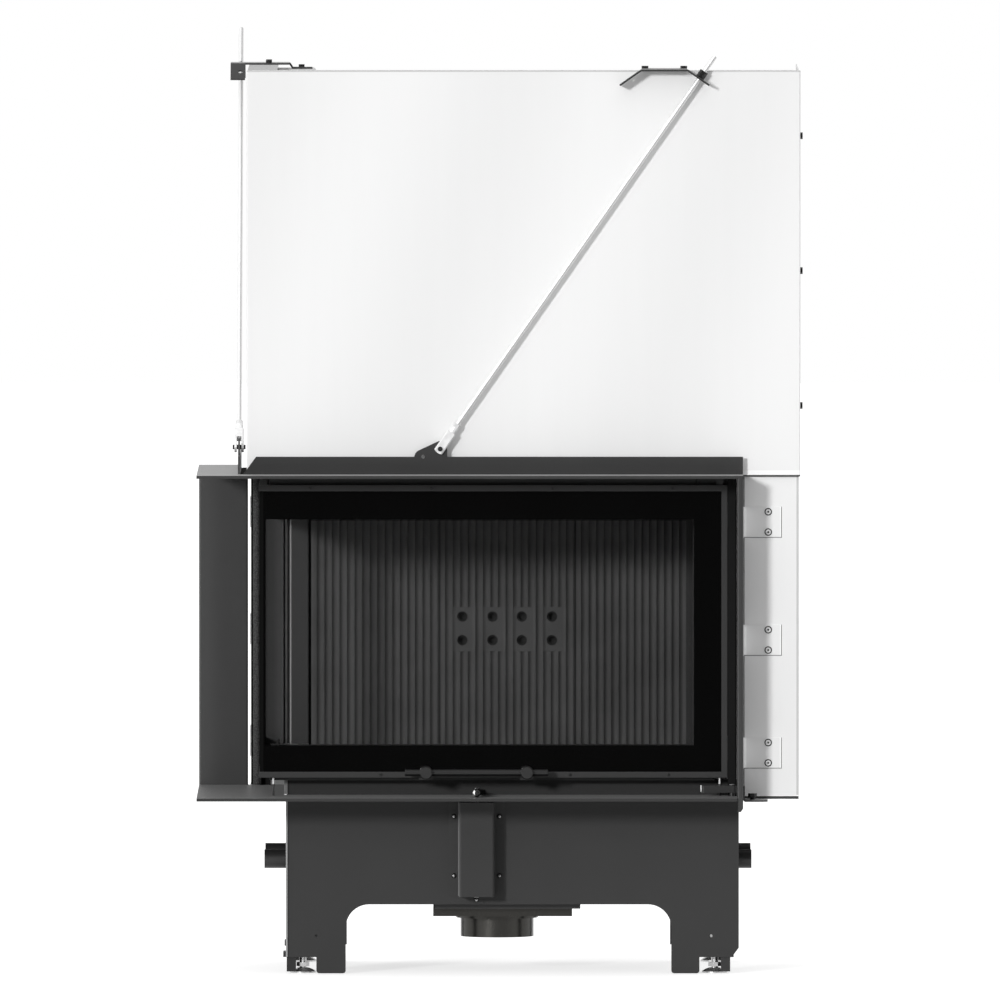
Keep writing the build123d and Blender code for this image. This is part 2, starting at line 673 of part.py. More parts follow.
def top_bracket_bolts():
    """The two bolts on the bracket's plate and the one on its tail."""
    middle = TOP_BRACKET_LEFT + TOP_BRACKET_STRIP / 2
    plate_top = CASING_TOP_Z + TOP_BRACKET_SHEET
    bolts = []
    for side in (-0.5, 0.5):
        x = middle + side * TOP_BRACKET_BOLTS
        seat = (x, behind(TOP_BRACKET_BOLT_SETBACK), plate_top)
        bolts.append(hexagon_along(seat, (0, 0, 1), *BOLT_HEAD))
    tail_top = BEAM_TOP_Z + TOP_BRACKET_SHEET
    seat = (middle, behind(TOP_BRACKET_TAIL_BOLT), tail_top)
    bolts.append(hexagon_along(seat, (0, 0, 1), *BOLT_HEAD))
    return bolts


# ================================================================ casing
def casing_front_panel():
    """The galvanised front sheet above the frame, folded back on three sides."""
    left = FRAME_LEFT + CASING_SETBACK
    skin = behind(CASING_SETBACK)
    section = folded_face([
        (left, skin + CASING_RETURN),
        (left, skin),
        (CASING_RIGHT, skin),
        (CASING_RIGHT, skin + CASING_RETURN),
    ], CASING_SHEET, bend=CASING_BEND)
    body = upright(section, FRAME_TOP_Z - CASING_LAP, CASING_TOP_Z)
    top = slab(
        left + CASING_SHEET, CASING_RIGHT - CASING_SHEET,
        skin, skin + CASING_TOP_RETURN,
        CASING_TOP_Z - CASING_SHEET, CASING_TOP_Z,
    )
    return body + top


def casing_left_panel():
    """The galvanised left sheet above the frame, with its top fold."""
    left = FRAME_LEFT + CASING_SETBACK + CASING_SHEET
    front = behind(CASING_SETBACK + CASING_SHEET + CASING_BEND)
    rear = side_end(CASING_RIGHT - 2 * CASING_SHEET) - CASING_BEND
    body = slab(left, left + CASING_SHEET, front, rear, FRAME_TOP_Z - CASING_LAP, CASING_TOP_Z - CASING_SHEET)
    fold = slab(
        left, left + CASING_TOP_RETURN,
        behind(CASING_SETBACK + CASING_TOP_RETURN), rear,
        CASING_TOP_Z - CASING_SHEET, CASING_TOP_Z,
    )
    return body + fold


def casing_right_panel():
    """The tall galvanised right sheet, from the lower plate to the top edge."""
    right = CASING_RIGHT - CASING_SHEET
    front = behind(CASING_SETBACK + CASING_SHEET + CASING_BEND)
    rear = side_end(CASING_RIGHT - 2 * CASING_SHEET) - CASING_BEND
    low = FRAME_BOTTOM_Z - FRAME_PLATE
    return slab(right - CASING_SHEET, right, front, rear, low, CASING_TOP_Z - CASING_SHEET)


def casing_rear_panel():
    """The rear sheet, folded forward round the right sheet and along its top."""
    left = FRAME_LEFT + LOWER_PANEL_SETBACK
    skin = side_end(CASING_RIGHT - CASING_SHEET)
    low = FRAME_BOTTOM_Z - FRAME_PLATE
    section = folded_face([
        (CASING_RIGHT, skin - CASING_RETURN),
        (CASING_RIGHT, skin),
        (left, skin),
    ], CASING_SHEET, bend=CASING_BEND)
    body = upright(section, low, CASING_REAR_TOP_Z)
    top = slab(
        left, CASING_RIGHT - 2 * CASING_SHEET, skin - CASING_RETURN, skin,
        CASING_REAR_TOP_Z - CASING_SHEET, CASING_REAR_TOP_Z,
    )
    beads = Part()
    for z in BEAD_HEIGHTS:
        beads += pressed_bead(left + BEAD_INSET, CASING_RIGHT - BEAD_INSET, skin - CASING_SHEET, z)
    return body + top + beads


def pressed_bead(x0, x1, skin, z):
    """A long stiffening bead pressed forward out of the rear sheet."""
    section = make_face([
        Line((skin, z - BEAD_WIDTH / 2), (skin, z + BEAD_WIDTH / 2)),
        RadiusArc((skin, z - BEAD_WIDTH / 2), (skin, z + BEAD_WIDTH / 2), -BEAD_RADIUS),
    ])
    return across(section, x0, x1)


def casing_lower_panel():
    """The narrow galvanised sheet beside the jamb, folded back at its edges."""
    skin = behind(LOWER_PANEL_SETBACK)
    left = FRAME_RIGHT + LOWER_PANEL_GAP
    right = CASING_RIGHT - 2 * CASING_SHEET
    section = folded_face([
        (left, skin + LOWER_PANEL_FOLD),
        (left, skin),
        (right, skin),
    ], CASING_SHEET, bend=CASING_BEND)
    low = FRAME_BOTTOM_Z - FRAME_PLATE
    high = FRAME_TOP_Z - FRAME_PLATE
    sheet = upright(section, low, high)
    foot = slab(left, right, skin, skin + LOWER_PANEL_FOLD, low, low + CASING_SHEET)
    return sheet + foot


def casing_side_bolts():
    """Three bolt heads down the casing's right edge."""
    bolts = []
    for z in SIDE_BOLT_HEIGHTS:
        seat = (CASING_RIGHT - CASING_SHEET, behind(SIDE_BOLT_SETBACK), z)
        bolts.append(hexagon_along(seat, (1, 0, 0), SIDE_BOLT_FLATS, SIDE_BOLT_HEAD))
    return bolts


# ================================================================ lift mechanism
def lift_beam(x0, x1):
    """An inverted channel under the casing's top edge."""
    low = BEAM_TOP_Z - BEAM_LIP
    section = folded_face([
        (behind(BEAM_START), low),
        (behind(BEAM_START), BEAM_TOP_Z),
        (behind(BEAM_END), BEAM_TOP_Z),
        (behind(BEAM_END), low),
    ][::-1], BEAM_SHEET, bend=2.0)
    return across(section, x0, x1)


def front_beam():
    """The beam along the front of the casing."""
    inner_left = FRAME_LEFT + CASING_SETBACK + 2 * CASING_SHEET
    return lift_beam(inner_left, CASING_RIGHT - 2 * CASING_SHEET)


def side_beam():
    """The beam along the left of the casing, behind the front beam."""
    start = FRAME_LEFT + BEAM_END
    end = CASING_RIGHT - LEG_DIFFERENCE - CASING_SHEET
    return side_copy(lift_beam(start, end), shift=0)


PULLEY_X = STRAP_X + PULLEY_PITCH_RADIUS
CABLE_SETBACK = DOOR_SETBACK + DOOR_THICK / 2
RAIL_FRONT = CABLE_SETBACK - PULLEY_WIDTH / 2 - HANGER_GAP


def pulley():
    """A grooved pulley with a hub and lightening holes."""
    groove = PULLEY_PITCH_RADIUS - CABLE_DIAMETER / 2 - 0.1
    rim = PULLEY_PITCH_RADIUS + PULLEY_RIM
    half = PULLEY_WIDTH / 2
    bore = AXLE_DIAMETER / 2 + RUNNING_PLAY
    hub = bore + PULLEY_HUB_WALL
    land = groove - PULLEY_LAND
    web = half - PULLEY_WEB_RECESS
    outline = face_of([
        (bore, -half), (hub, -half), (hub, -web), (land, -web), (land, -half), (rim, -half),
        (groove, -PULLEY_GROOVE_HALF), (groove, PULLEY_GROOVE_HALF), (rim, half),
        (land, half), (land, web), (hub, web), (hub, half), (bore, half),
    ])
    wheel = revolve(Plane.XZ * outline, axis=Axis.Z)
    for spot in PolarLocations(PULLEY_HOLE_CIRCLE, PULLEY_HOLES):
        wheel -= spot * Cylinder(PULLEY_HOLE_DIAMETER / 2, PULLEY_WIDTH)
    return Pos(PULLEY_X, behind(CABLE_SETBACK), PULLEY_Z) * Rot(90, 0, 0) * wheel


def pulley_axle():
    """The bolt that the pulley turns on, headed outside its hanger."""
    y = behind(CABLE_SETBACK)
    reach = PULLEY_WIDTH / 2 + HANGER_GAP + HANGER_SHEET
    bolt = rod_along((PULLEY_X, y - reach, PULLEY_Z), (0, 1, 0), AXLE_DIAMETER / 2, 2 * reach)
    head = hexagon_along((PULLEY_X, y - reach, PULLEY_Z), (0, -1, 0), *AXLE_HEAD)
    nut = hexagon_along((PULLEY_X, y + reach, PULLEY_Z), (0, 1, 0), *AXLE_HEAD)
    return bolt + head + nut


def hanger_cheek(low):
    """The outline of one side of the pulley's hanger, in front view."""
    top = BEAM_TOP_Z - BEAM_SHEET
    cheek = face_of([
        (RAIL_LEFT, low),
        (RAIL_RIGHT, low),
        (PULLEY_X + HANGER_WIDTH / 2, PULLEY_Z - HANGER_WIDTH / 2),
        (PULLEY_X + HANGER_WIDTH / 2, top),
        (PULLEY_X - HANGER_WIDTH / 2, top),
        (RAIL_LEFT, PULLEY_Z - HANGER_WIDTH / 2),
    ])
    return cheek - Pos(PULLEY_X, PULLEY_Z) * Circle(AXLE_DIAMETER / 2)


def pulley_hanger():
    """The folded hanger that holds the pulley under the beam and steadies the rail."""
    y = behind(CABLE_SETBACK)
    inner = PULLEY_WIDTH / 2 + HANGER_GAP
    outer = inner + HANGER_SHEET
    half = HANGER_WIDTH / 2
    top = BEAM_TOP_Z - BEAM_SHEET
    front = deep(hanger_cheek(RAIL_TOP_Z - HANGER_LAP), y - outer, y - inner)
    rear = deep(hanger_cheek(RAIL_TOP_Z + 1), y + inner, y + outer)
    web = slab(PULLEY_X - half, PULLEY_X + half, y - outer, y + outer, top - HANGER_SHEET, top)
    return front + rear + web


def guide_rail():
    """The upright channel on the firebox's post that the door's glides run in."""
    front = behind(RAIL_FRONT)
    rear = behind(FIREBOX_FACE)
    section = folded_face([
        (RAIL_LEFT, front),
        (RAIL_RIGHT, front),
        (RAIL_RIGHT, rear),
        (RAIL_LEFT, rear),
    ], RAIL_SHEET, bend=1.0)
    return upright(section, FRAME_BOTTOM_Z, RAIL_TOP_Z)


def counterweight():
    """A steel counterweight with an eye on top for its cable."""
    width, depth, length = WEIGHT_SIZE
    x = STRAP_X + 2 * PULLEY_PITCH_RADIUS
    body = Box(width, depth, length, align=(Align.CENTER, Align.CENTER, Align.MAX))
    body = chamfer(body.edges(), WEIGHT_CHAMFER)
    eye = Box(*EYE_SECTION, EYE_HEIGHT, align=(Align.CENTER, Align.CENTER, Align.MIN))
    eye = fillet(eye.edges().filter_by(Axis.X).group_by(Axis.Z)[-1], EYE_SECTION[1] * 0.46)
    return Pos(x, behind(CABLE_SETBACK), WEIGHT_TOP_Z) * (body + eye)


def lift_cable():
    """The wire rope from the door's strap over the pulley to the counterweight."""
    y = behind(CABLE_SETBACK)
    x1 = STRAP_X + 2 * PULLEY_PITCH_RADIUS
    door_end = DOOR_TOP_Z - DOOR_RAIL + STRAP_SIZE[2]
    up = Line((STRAP_X, y, door_end), (STRAP_X, y, PULLEY_Z))
    crown = (PULLEY_X, y, PULLEY_Z + PULLEY_PITCH_RADIUS)
    over = ThreePointArc((STRAP_X, y, PULLEY_Z), crown, (x1, y, PULLEY_Z))
    down = Line((x1, y, PULLEY_Z), (x1, y, WEIGHT_TOP_Z + EYE_HEIGHT))
    start = Plane(origin=(STRAP_X, y, door_end), z_dir=(0, 0, 1))
    return sweep(start * Circle(CABLE_DIAMETER / 2), path=up + over + down)


# ================================================================ door
def glass_section(play=0.0):
    """Plan section of the bent glass, or of the groove that it sits in."""
    outer = DOOR_SETBACK + GLASS_INSET - play
    end = DOOR_RIGHT - GLASS_BITE + play
    return folded_face([
        (FRAME_LEFT + outer, side_end(end)),
        (FRAME_LEFT + outer, behind(outer)),
        (end, behind(outer)),
    ], GLASS_THICK + 2 * play, bend=GLASS_BEND - play)


def door_rail(z0):
    """One L-shaped rail of the door, grooved for the glass."""
    rail = upright(
        corner_band(DOOR_SETBACK, DOOR_SETBACK + DOOR_THICK, DOOR_RIGHT), z0, z0 + DOOR_RAIL)
    depth = GLASS_BITE + GLASS_PLAY
    cut_from = z0 + DOOR_RAIL - depth if z0 < HANDLE_Z else z0
    return rail - upright(glass_section(GLASS_PLAY), cut_from, cut_from + depth)


def door_stile():
    """The upright of the door's frame at the end of the front pane."""
    glass_in = DOOR_SETBACK + GLASS_INSET
    outline = rectangle(
        DOOR_RIGHT - DOOR_RAIL, DOOR_RIGHT, behind(DOOR_SETBACK), behind(DOOR_SETBACK + DOOR_THICK))
    outline -= rectangle(
        DOOR_RIGHT - DOOR_RAIL, DOOR_RIGHT - GLASS_BITE + GLASS_PLAY,
        behind(glass_in - GLASS_PLAY), behind(glass_in + GLASS_THICK + GLASS_PLAY))
    return upright(outline, DOOR_BOTTOM_Z + DOOR_RAIL, DOOR_TOP_Z - DOOR_RAIL)


def door_glass():
    """The two panes, as one bent sheet of glass ceramic."""
    low = DOOR_BOTTOM_Z + DOOR_RAIL - GLASS_BITE
    return upright(glass_section(), low, DOOR_TOP_Z - DOOR_RAIL + GLASS_BITE)


def door_seal():
    """The rope gasket behind the door's frame, all the way round."""
    face = DOOR_SETBACK + DOOR_THICK
    end = DOOR_RIGHT - SEAL_INSET
    low = DOOR_BOTTOM_Z + SEAL_INSET
    high = DOOR_TOP_Z - SEAL_INSET
    band = corner_band(face, face + SEAL_THICK, end)
    seal = upright(band, low, low + SEAL_WIDTH) + upright(band, high - SEAL_WIDTH, high)
    stile = slab(end - SEAL_WIDTH, end, behind(face), behind(face + SEAL_THICK), low, high)
    return seal + stile + side_copy(stile)


def door_handle():
    """A round bar through two round posts that stand on the bottom rail."""
    face = behind(DOOR_SETBACK)
    bar_y = face - HANDLE_POST_LENGTH + HANDLE_BAR_SETBACK
    bar_chamfer, post_chamfer = HANDLE_CHAMFERS
    bar = rod_along(
        (HANDLE_X - HANDLE_BAR_LENGTH / 2, bar_y, HANDLE_Z), (1, 0, 0),
        HANDLE_BAR_DIAMETER / 2, HANDLE_BAR_LENGTH)
    bar = chamfer(bar.edges().filter_by(GeomType.CIRCLE), bar_chamfer)
    pieces = []
    foot_x, foot_y, foot_z = HANDLE_FOOT
    for side in (-0.5, 0.5):
        x = HANDLE_X + side * HANDLE_POST_SPACING
        post = rod_along(
            (x, face - HANDLE_POST_LENGTH, HANDLE_Z), (0, 1, 0),
            HANDLE_POST_DIAMETER / 2, HANDLE_POST_LENGTH)
        post = chamfer(post.edges().filter_by(GeomType.CIRCLE).group_by(Axis.Y)[0], post_chamfer)
        foot = slab(
            x - foot_x / 2, x + foot_x / 2, face - foot_y, face,
            HANDLE_Z - foot_z, HANDLE_Z)
        pieces.append(post + foot - bar)
    return [bar] + pieces


def door_lift_strap():
    """The strap above the top rail that the cable is clamped to."""
    width, thick, height = STRAP_SIZE
    y = behind(CABLE_SETBACK)
    low = DOOR_TOP_Z - DOOR_RAIL
    strap = slab(
        STRAP_X - width / 2, STRAP_X + width / 2, y - thick / 2, y + thick / 2,
        DOOR_TOP_Z, low + height)
    return chamfer(strap.edges().filter_by(Axis.Y).group_by(Axis.Z)[-1], STRAP_CLIP)


def door_glides():
    """Two glides on the right stile that run in the guide rail."""
    front = behind(RAIL_FRONT) + RAIL_SHEET + GLIDE_PLAY
    rear = behind(FIREBOX_FACE) - RAIL_SHEET - GLIDE_PLAY
    end = RAIL_RIGHT - RAIL_SHEET - GLIDE_PLAY
    glides = Part()
    for offset in GLIDE_OFFSETS:
        z = DOOR_BOTTOM_Z + offset
        glides += slab(DOOR_RIGHT, end, front, rear, z, z + GLIDE_LENGTH)
    return glides


# ================================================================ firebox
def firebox_shell():
    """The steel body: floor, right and back walls, front post, L-shaped lintel."""
    right = FIRE_RIGHT + LINING
    back = behind(FIRE_BACK + LINING)
    front = behind(FIREBOX_FACE)
    floor = slab(
        FRAME_LEFT + FIREBOX_FACE, right + STEEL, front, back + STEEL,
        SHELL_FLOOR_Z - STEEL, SHELL_FLOOR_Z)
    walls = upright(face_of([
        (right, front + POST_SHEET),
        (right + STEEL, front + POST_SHEET),
        (right + STEEL, back + STEEL),
        (LINING_LEFT - LINING_GAP, back + STEEL),
        (LINING_LEFT - LINING_GAP, back),
        (right, back),
    ]), SHELL_FLOOR_Z, SHELL_TOP_Z)
    post = upright(folded_face([
        (POST_INNER_X, front + POST_RETURN),
        (POST_INNER_X, front),
        (RAIL_RIGHT, front),
    ], POST_SHEET, bend=1.5), SHELL_FLOOR_Z, SHELL_TOP_Z)
    band = corner_band(FIREBOX_FACE, FIREBOX_FACE + STEEL, POST_INNER_X)
    lintel = upright(band, LINTEL_BOTTOM_Z, SHELL_TOP_Z)
    sill = upright(band, SHELL_FLOOR_Z, SILL_TOP_Z)
    return floor + walls + post + lintel + sill


def rear_left_post():
    """The folded post between the left pane's end and the back lining."""
    x = FRAME_LEFT + FIREBOX_FACE
    section = folded_face([
        (x, side_end(RAIL_RIGHT)),
        (x, side_end(POST_INNER_X)),
        *[(x + inward, behind(FIRE_BACK + past)) for inward, past in REAR_POST_FOLDS],
        (LINING_LEFT - LINING_GAP, behind(FIRE_BACK + REAR_POST_FOLDS[-1][1])),
        (LINING_LEFT - LINING_GAP, behind(FIRE_BACK + LINING)),
    ], POST_SHEET, bend=1.0)
    return upright(section, SHELL_FLOOR_Z, SHELL_TOP_Z)


def hood(inset):
    """The smoke dome's form, or the hollow inside it."""
    left = FRAME_LEFT + FIREBOX_FACE
    right = FIRE_RIGHT + LINING + STEEL
    front = behind(FIREBOX_FACE)
    back = behind(FIRE_BACK + LINING + STEEL)
    foot = RectangleRounded(right - left - 2 * inset, back - front - 2 * inset, DOME_CORNER)
    foot = Pos((left + right) / 2, (front + back) / 2, SHELL_TOP_Z) * foot
    mouth = Circle(FLUE_RADIUS + FLUE_SHEET - inset)
    mouth = Pos(FLUE_X, behind(FLUE_SETBACK), DOME_TOP_Z) * mouth
    return loft([foot.faces()[0], mouth.faces()[0]])


def smoke_dome():
    """The steel hood that narrows from the firebox to the round flue outlet."""
    return hood(0) - hood(STEEL)


def flue_collar():
    """The round collar that the flue pipe stands in, with its foot ring."""
    centre = (FLUE_X, behind(FLUE_SETBACK))
    tube = Circle(FLUE_RADIUS + FLUE_SHEET) - Circle(FLUE_RADIUS)
    ring = Circle(FLUE_RADIUS + FLUE_SHEET + FLUE_FOOT_RING) - Circle(FLUE_RADIUS)
    collar = extrude(tube, amount=FLUE_COLLAR_HEIGHT) + extrude(ring, amount=STEEL)
    return Pos(centre[0], centre[1], DOME_TOP_Z) * collar


def ribbed_section(x0, x1):
    """Plan section of a back slab, with upright ribs on its face."""
    face = behind(FIRE_BACK)
    back = face + LINING
    half = RIB_WIDTH / 2
    points = [(x1, back), (x0, back), (x0, face)]
    edges = [Line(points[0], points[1]), Line(points[1], points[2])]
    cursor = points[2]
    count = int((FIRE_RIGHT - RIB_FIRST_X) / RIB_PITCH) + 1
    for i in range(count):
        x = RIB_FIRST_X + i * RIB_PITCH
        if x - half < x0 + 1 or x + half > min(x1, FIRE_RIGHT) - 1:
            continue
        foot = (x - half, face)
        end = (x + half, face)
        edges.append(Line(cursor, foot))
        edges.append(ThreePointArc(foot, (x, face - RIB_HEIGHT), end))
        cursor = end
    edges.append(Line(cursor, (x1, face)))
    edges.append(Line((x1, face), (x1, back)))
    return make_face(edges)


def back_slab(x0, x1):
    """One ribbed slab of the back lining."""
    return upright(ribbed_section(x0, x1), LINING_FLOOR_Z, LINING_TOP_Z)


def port_pads():
    """The flat pads that clear the ribs round each pair of air ports."""
    face = behind(FIRE_BACK)
    width, height = PORT_PAD
    middle = sum(PORT_ROWS) / len(PORT_ROWS)
    pads = Part()
    for x in PORT_COLUMNS:
        pad = Pos(x, middle) * RectangleRounded(width, height, PORT_PAD_CORNER)
        pads += deep(pad, face - RIB_HEIGHT - 1, face)
    return pads


def air_ports():
    """The secondary air ports: a countersunk mouth and a bore through the slab."""
    face = behind(FIRE_BACK)
    ports = Part()
    for x in PORT_COLUMNS:
        for z in PORT_ROWS:
            ports += Plane(origin=(x, face, z), z_dir=(0, 1, 0)) * Cone(
                PORT_RECESS_DIAMETER / 2, PORT_DIAMETER / 2, PORT_RECESS_DEPTH,
                align=(Align.CENTER, Align.CENTER, Align.MIN))
            ports += rod_along((x, face, z), (0, 1, 0), PORT_DIAMETER / 2, LINING + 1)
    return ports


def lining_back():
    """The three back slabs. The middle one holds the air ports."""
    left_joint, right_joint = TILE_JOINTS
    left = back_slab(LINING_LEFT, left_joint - TILE_GAP / 2)
    centre = back_slab(left_joint + TILE_GAP / 2, right_joint - TILE_GAP / 2)
    right = back_slab(right_joint + TILE_GAP / 2, FIRE_RIGHT + LINING)
    return left, centre - port_pads() - air_ports(), right


def lining_right():
    """The slab on the right wall."""
    return slab(
        FIRE_RIGHT, FIRE_RIGHT + LINING,
        behind(FIREBOX_FACE + POST_RETURN + FLOOR_PLAY), behind(FIRE_BACK),
        LINING_FLOOR_Z, LINING_TOP_Z)


def lining_floor():
    """The two floor slabs, side by side, notched for the folded posts."""
    inner = FIREBOX_FACE + STEEL + FLOOR_PLAY
    left = FRAME_LEFT + inner
    right = FIRE_RIGHT + LINING
    back = behind(FIRE_BACK + LINING)
    middle = (left + right) / 2
    post_back = behind(FIREBOX_FACE + POST_RETURN + FLOOR_PLAY)
    near_post = rectangle(POST_INNER_X - FLOOR_PLAY, right + 1, behind(0), post_back)
    far_post = rectangle(left - 1, LINING_LEFT, side_end(POST_INNER_X) - FLOOR_PLAY, back + 1)
    slabs = []
    for x0, x1 in ((left, middle - TILE_GAP / 2), (middle + TILE_GAP / 2, right)):
        outline = rectangle(x0, x1, behind(inner), back) - near_post - far_post
        body = upright(outline, SHELL_FLOOR_Z, LINING_FLOOR_Z)
        slabs.append(body)
    return slabs


def baffle_plate():
    """The baffle that rests on the back and right slabs, under the smoke dome."""
    left = LINING_LEFT + 2 * FLOOR_PLAY
    right = FIRE_RIGHT + BAFFLE_LAP
    return slab(
        left, right, behind(BAFFLE_FRONT), behind(FIRE_BACK + BAFFLE_LAP),
        LINING_TOP_Z, LINING_TOP_Z + BAFFLE_THICK)


def log_retainer():
    """The low rail that keeps embers off the glass, on the floor slabs' edge."""
    near = FIREBOX_FACE + STEEL + RETAINER_INSET
    band = corner_band(near, near + STEEL, POST_INNER_X - 4)
    return upright(band, LINING_FLOOR_Z, LINING_FLOOR_Z + RETAINER_HEIGHT)


# ================================================================ base
def base_front_panel():
    """The front sheet of the base: an arch between two legs, cut away for feet."""
    outline = face_of([
        (BASE_LEFT, LEG_FOOT_Z), (LEFT_LEG[0], LEG_FOOT_Z), (LEFT_LEG[0], 0), (LEFT_LEG[1], 0),
        (LEFT_LEG[1], ARCH_TOP_Z), (RIGHT_LEG[0], ARCH_TOP_Z), (RIGHT_LEG[0], 0),
        (RIGHT_LEG[1], 0), (RIGHT_LEG[1], LEG_FOOT_Z), (BASE_RIGHT - BASE_CLIP[0], LEG_FOOT_Z),
        (BASE_RIGHT, LEG_FOOT_Z + BASE_CLIP[1]), (BASE_RIGHT, BASE_TOP_Z), (BASE_LEFT, BASE_TOP_Z),
    ])
    corners = outline.vertices()
    arch = [v for v in corners if abs(v.Y - ARCH_TOP_Z) < 0.1]
    outline = fillet(arch, ARCH_RADIUS)
    feet = [v for v in outline.vertices() if v.Y < 1]
    outline = fillet(feet, LEG_CORNER)
    slot = arm_slot(BASE_SETBACK, BASE_SETBACK + BASE_SHEET)
    holes = Pos(LEFT_LEG[0], BASE_HOLE_Z) * Circle(BASE_HOLE_DIAMETER / 2)
    holes += Pos(RIGHT_LEG[1] + BASE_HOLE_INSET, BASE_HOLE_Z) * Circle(BASE_HOLE_DIAMETER / 2)
    return deep(outline - slot - holes, behind(BASE_SETBACK), behind(BASE_SETBACK) + BASE_SHEET)


def arm_slot(near, far):
    """The slot that the lever's arm swings in, for a sheet between two setbacks."""
    half = LEVER_ARM_WIDTH / 2
    shut = radians(gate_place()[1] - LEVER_REST_OPENING)
    wide = radians(gate_place()[1] + LEVER_FURTHER_OPENING)
    left = (near - LEVER_SETBACK) * sin(shut) / cos(shut) - half / cos(shut) - ARM_PLAY
    right = (far - LEVER_SETBACK) * sin(wide) / cos(wide) + half / cos(wide) + ARM_PLAY
    middle = Pos(LEVER_X + (left + right) / 2, LEVER_ARM_Z + LEVER_ARM_THICK / 2)
    return middle * RectangleRounded(right - left, LEVER_ARM_THICK + 2 * ARM_PLAY, 3)


def side_sheet(x, inward):
    """One side sheet of the base: an arch between two legs with folded edges."""
    front = behind(BASE_SETBACK) + BASE_SHEET
    rear = behind(BASE_REAR) - BASE_SHEET
    outline = rectangle(front, rear, SIDE_FOOT_Z, BASE_TOP_Z)
    arch = rectangle(front + SIDE_LEG, rear - SIDE_LEG, SIDE_FOOT_Z - 1, ARCH_TOP_Z)
    arch = fillet(arch.vertices().group_by(Axis.Y)[-1], ARCH_RADIUS)
    low, high = sorted((x, x + inward * BASE_SHEET))
    sheet = across(outline - arch, low, high)
    fold_low, fold_high = sorted((x, x + inward * SIDE_FOOT_FOLD))
    for y in (front, rear - BASE_SHEET):
        sheet += slab(fold_low, fold_high, y, y + BASE_SHEET, SIDE_FOOT_Z, BASE_TOP_Z)
    return sheet


def base_body():
    """The side sheets, the rear sheet and the rim of the base, and its foot plates."""
    left, right = SIDE_SHEETS
    front = behind(BASE_SETBACK) + BASE_SHEET
    rear = behind(BASE_REAR)
    body = side_sheet(left, 1) + side_sheet(right, -1)
    rear_arch = rectangle(LEFT_LEG[1], RIGHT_LEG[0], 0, ARCH_TOP_Z)
    rear_arch = fillet(rear_arch.vertices().group_by(Axis.Y)[-1], ARCH_RADIUS)
    back = rectangle(left, right, LEG_FOOT_Z, BASE_TOP_Z) - rear_arch
    body += deep(back, rear - BASE_SHEET, rear)
    rim_left, rim_right, rim_rear = BASE_TOP_RIM
    rim = rectangle(left, right, front, rear - BASE_SHEET)
    rim -= rectangle(left + rim_left, right - rim_right, front, rear - rim_rear)
    body += upright(rim, BASE_TOP_Z - BASE_SHEET, BASE_TOP_Z)
    for setback in TUBE_SETBACKS:
        body -= rod_along(
            (left - 1, behind(setback), TUBE_Z), (1, 0, 0), TUBE_DIAMETER / 2, right - left + 2)
    for x in FOOT_X:
        for setback in FOOT_SETBACKS:
            body += foot_plate(x, setback)
    return body


def foot_plate(x, setback):
    """The thick plate in a leg's corner that a levelling foot is screwed through."""
    left, right = SIDE_SHEETS
    if x < 0:
        low, high = left - FOOT_PLATE_LAP, LEFT_LEG[0]
    else:
        low, high = RIGHT_LEG[1], right + FOOT_PLATE_LAP
    near = behind(BASE_SETBACK) + BASE_SHEET
    far = behind(BASE_REAR) - BASE_SHEET
    y0, y1 = (near, near + SIDE_LEG) if setback < 300 else (far - SIDE_LEG, far)
    plate = slab(low, high, y0, y1, LEG_FOOT_Z, LEG_FOOT_Z + FOOT_PLATE)
    hole = rod_along(
        (x, behind(setback), LEG_FOOT_Z - 1), (0, 0, 1),
        FOOT_SCREW_DIAMETER / 2 + RUNNING_PLAY, FOOT_PLATE + 2)
    return plate - hole


def carrying_tube(setback):
    """A tube through the base's sides for lifting bars."""
    tube = Circle(TUBE_DIAMETER / 2) - Circle(TUBE_DIAMETER / 2 - TUBE_WALL)
    plane = Plane(origin=(TUBE_LEFT, behind(setback), TUBE_Z), z_dir=(1, 0, 0))
    return extrude(plane * tube, amount=TUBE_RIGHT - TUBE_LEFT)


def levelling_foot(x, setback):
    """A screwed foot: a dished pad, a threaded stem and its hexagon."""
    radius = FOOT_PAD_DIAMETER / 2
    stem = FOOT_SCREW_DIAMETER / 2
    collar = stem + FOOT_COLLAR
    belly = ((radius + collar) / 2, FOOT_PAD_HEIGHT * 0.74)
    outline = make_face([
        Line((0, 0), (radius, 0)),
        Line((radius, 0), (radius, FOOT_PAD_RIM)),
        ThreePointArc((radius, FOOT_PAD_RIM), belly, (collar, FOOT_PAD_HEIGHT)),
        Line((collar, FOOT_PAD_HEIGHT), (stem, FOOT_PAD_HEIGHT)),
        Line((stem, FOOT_PAD_HEIGHT), (stem, FOOT_SCREW_TOP)),
        Line((stem, FOOT_SCREW_TOP), (0, FOOT_SCREW_TOP)),
        Line((0, FOOT_SCREW_TOP), (0, 0)),
    ])
    foot = revolve(Plane.XZ * outline, axis=Axis.Z)
    nut_z = FOOT_PAD_HEIGHT + FOOT_COLLAR
    foot += hexagon_along((0, 0, nut_z), (0, 0, 1), FOOT_NUT_SIZE, FOOT_NUT_HEIGHT)
    return Pos(x, behind(setback), 0) * foot


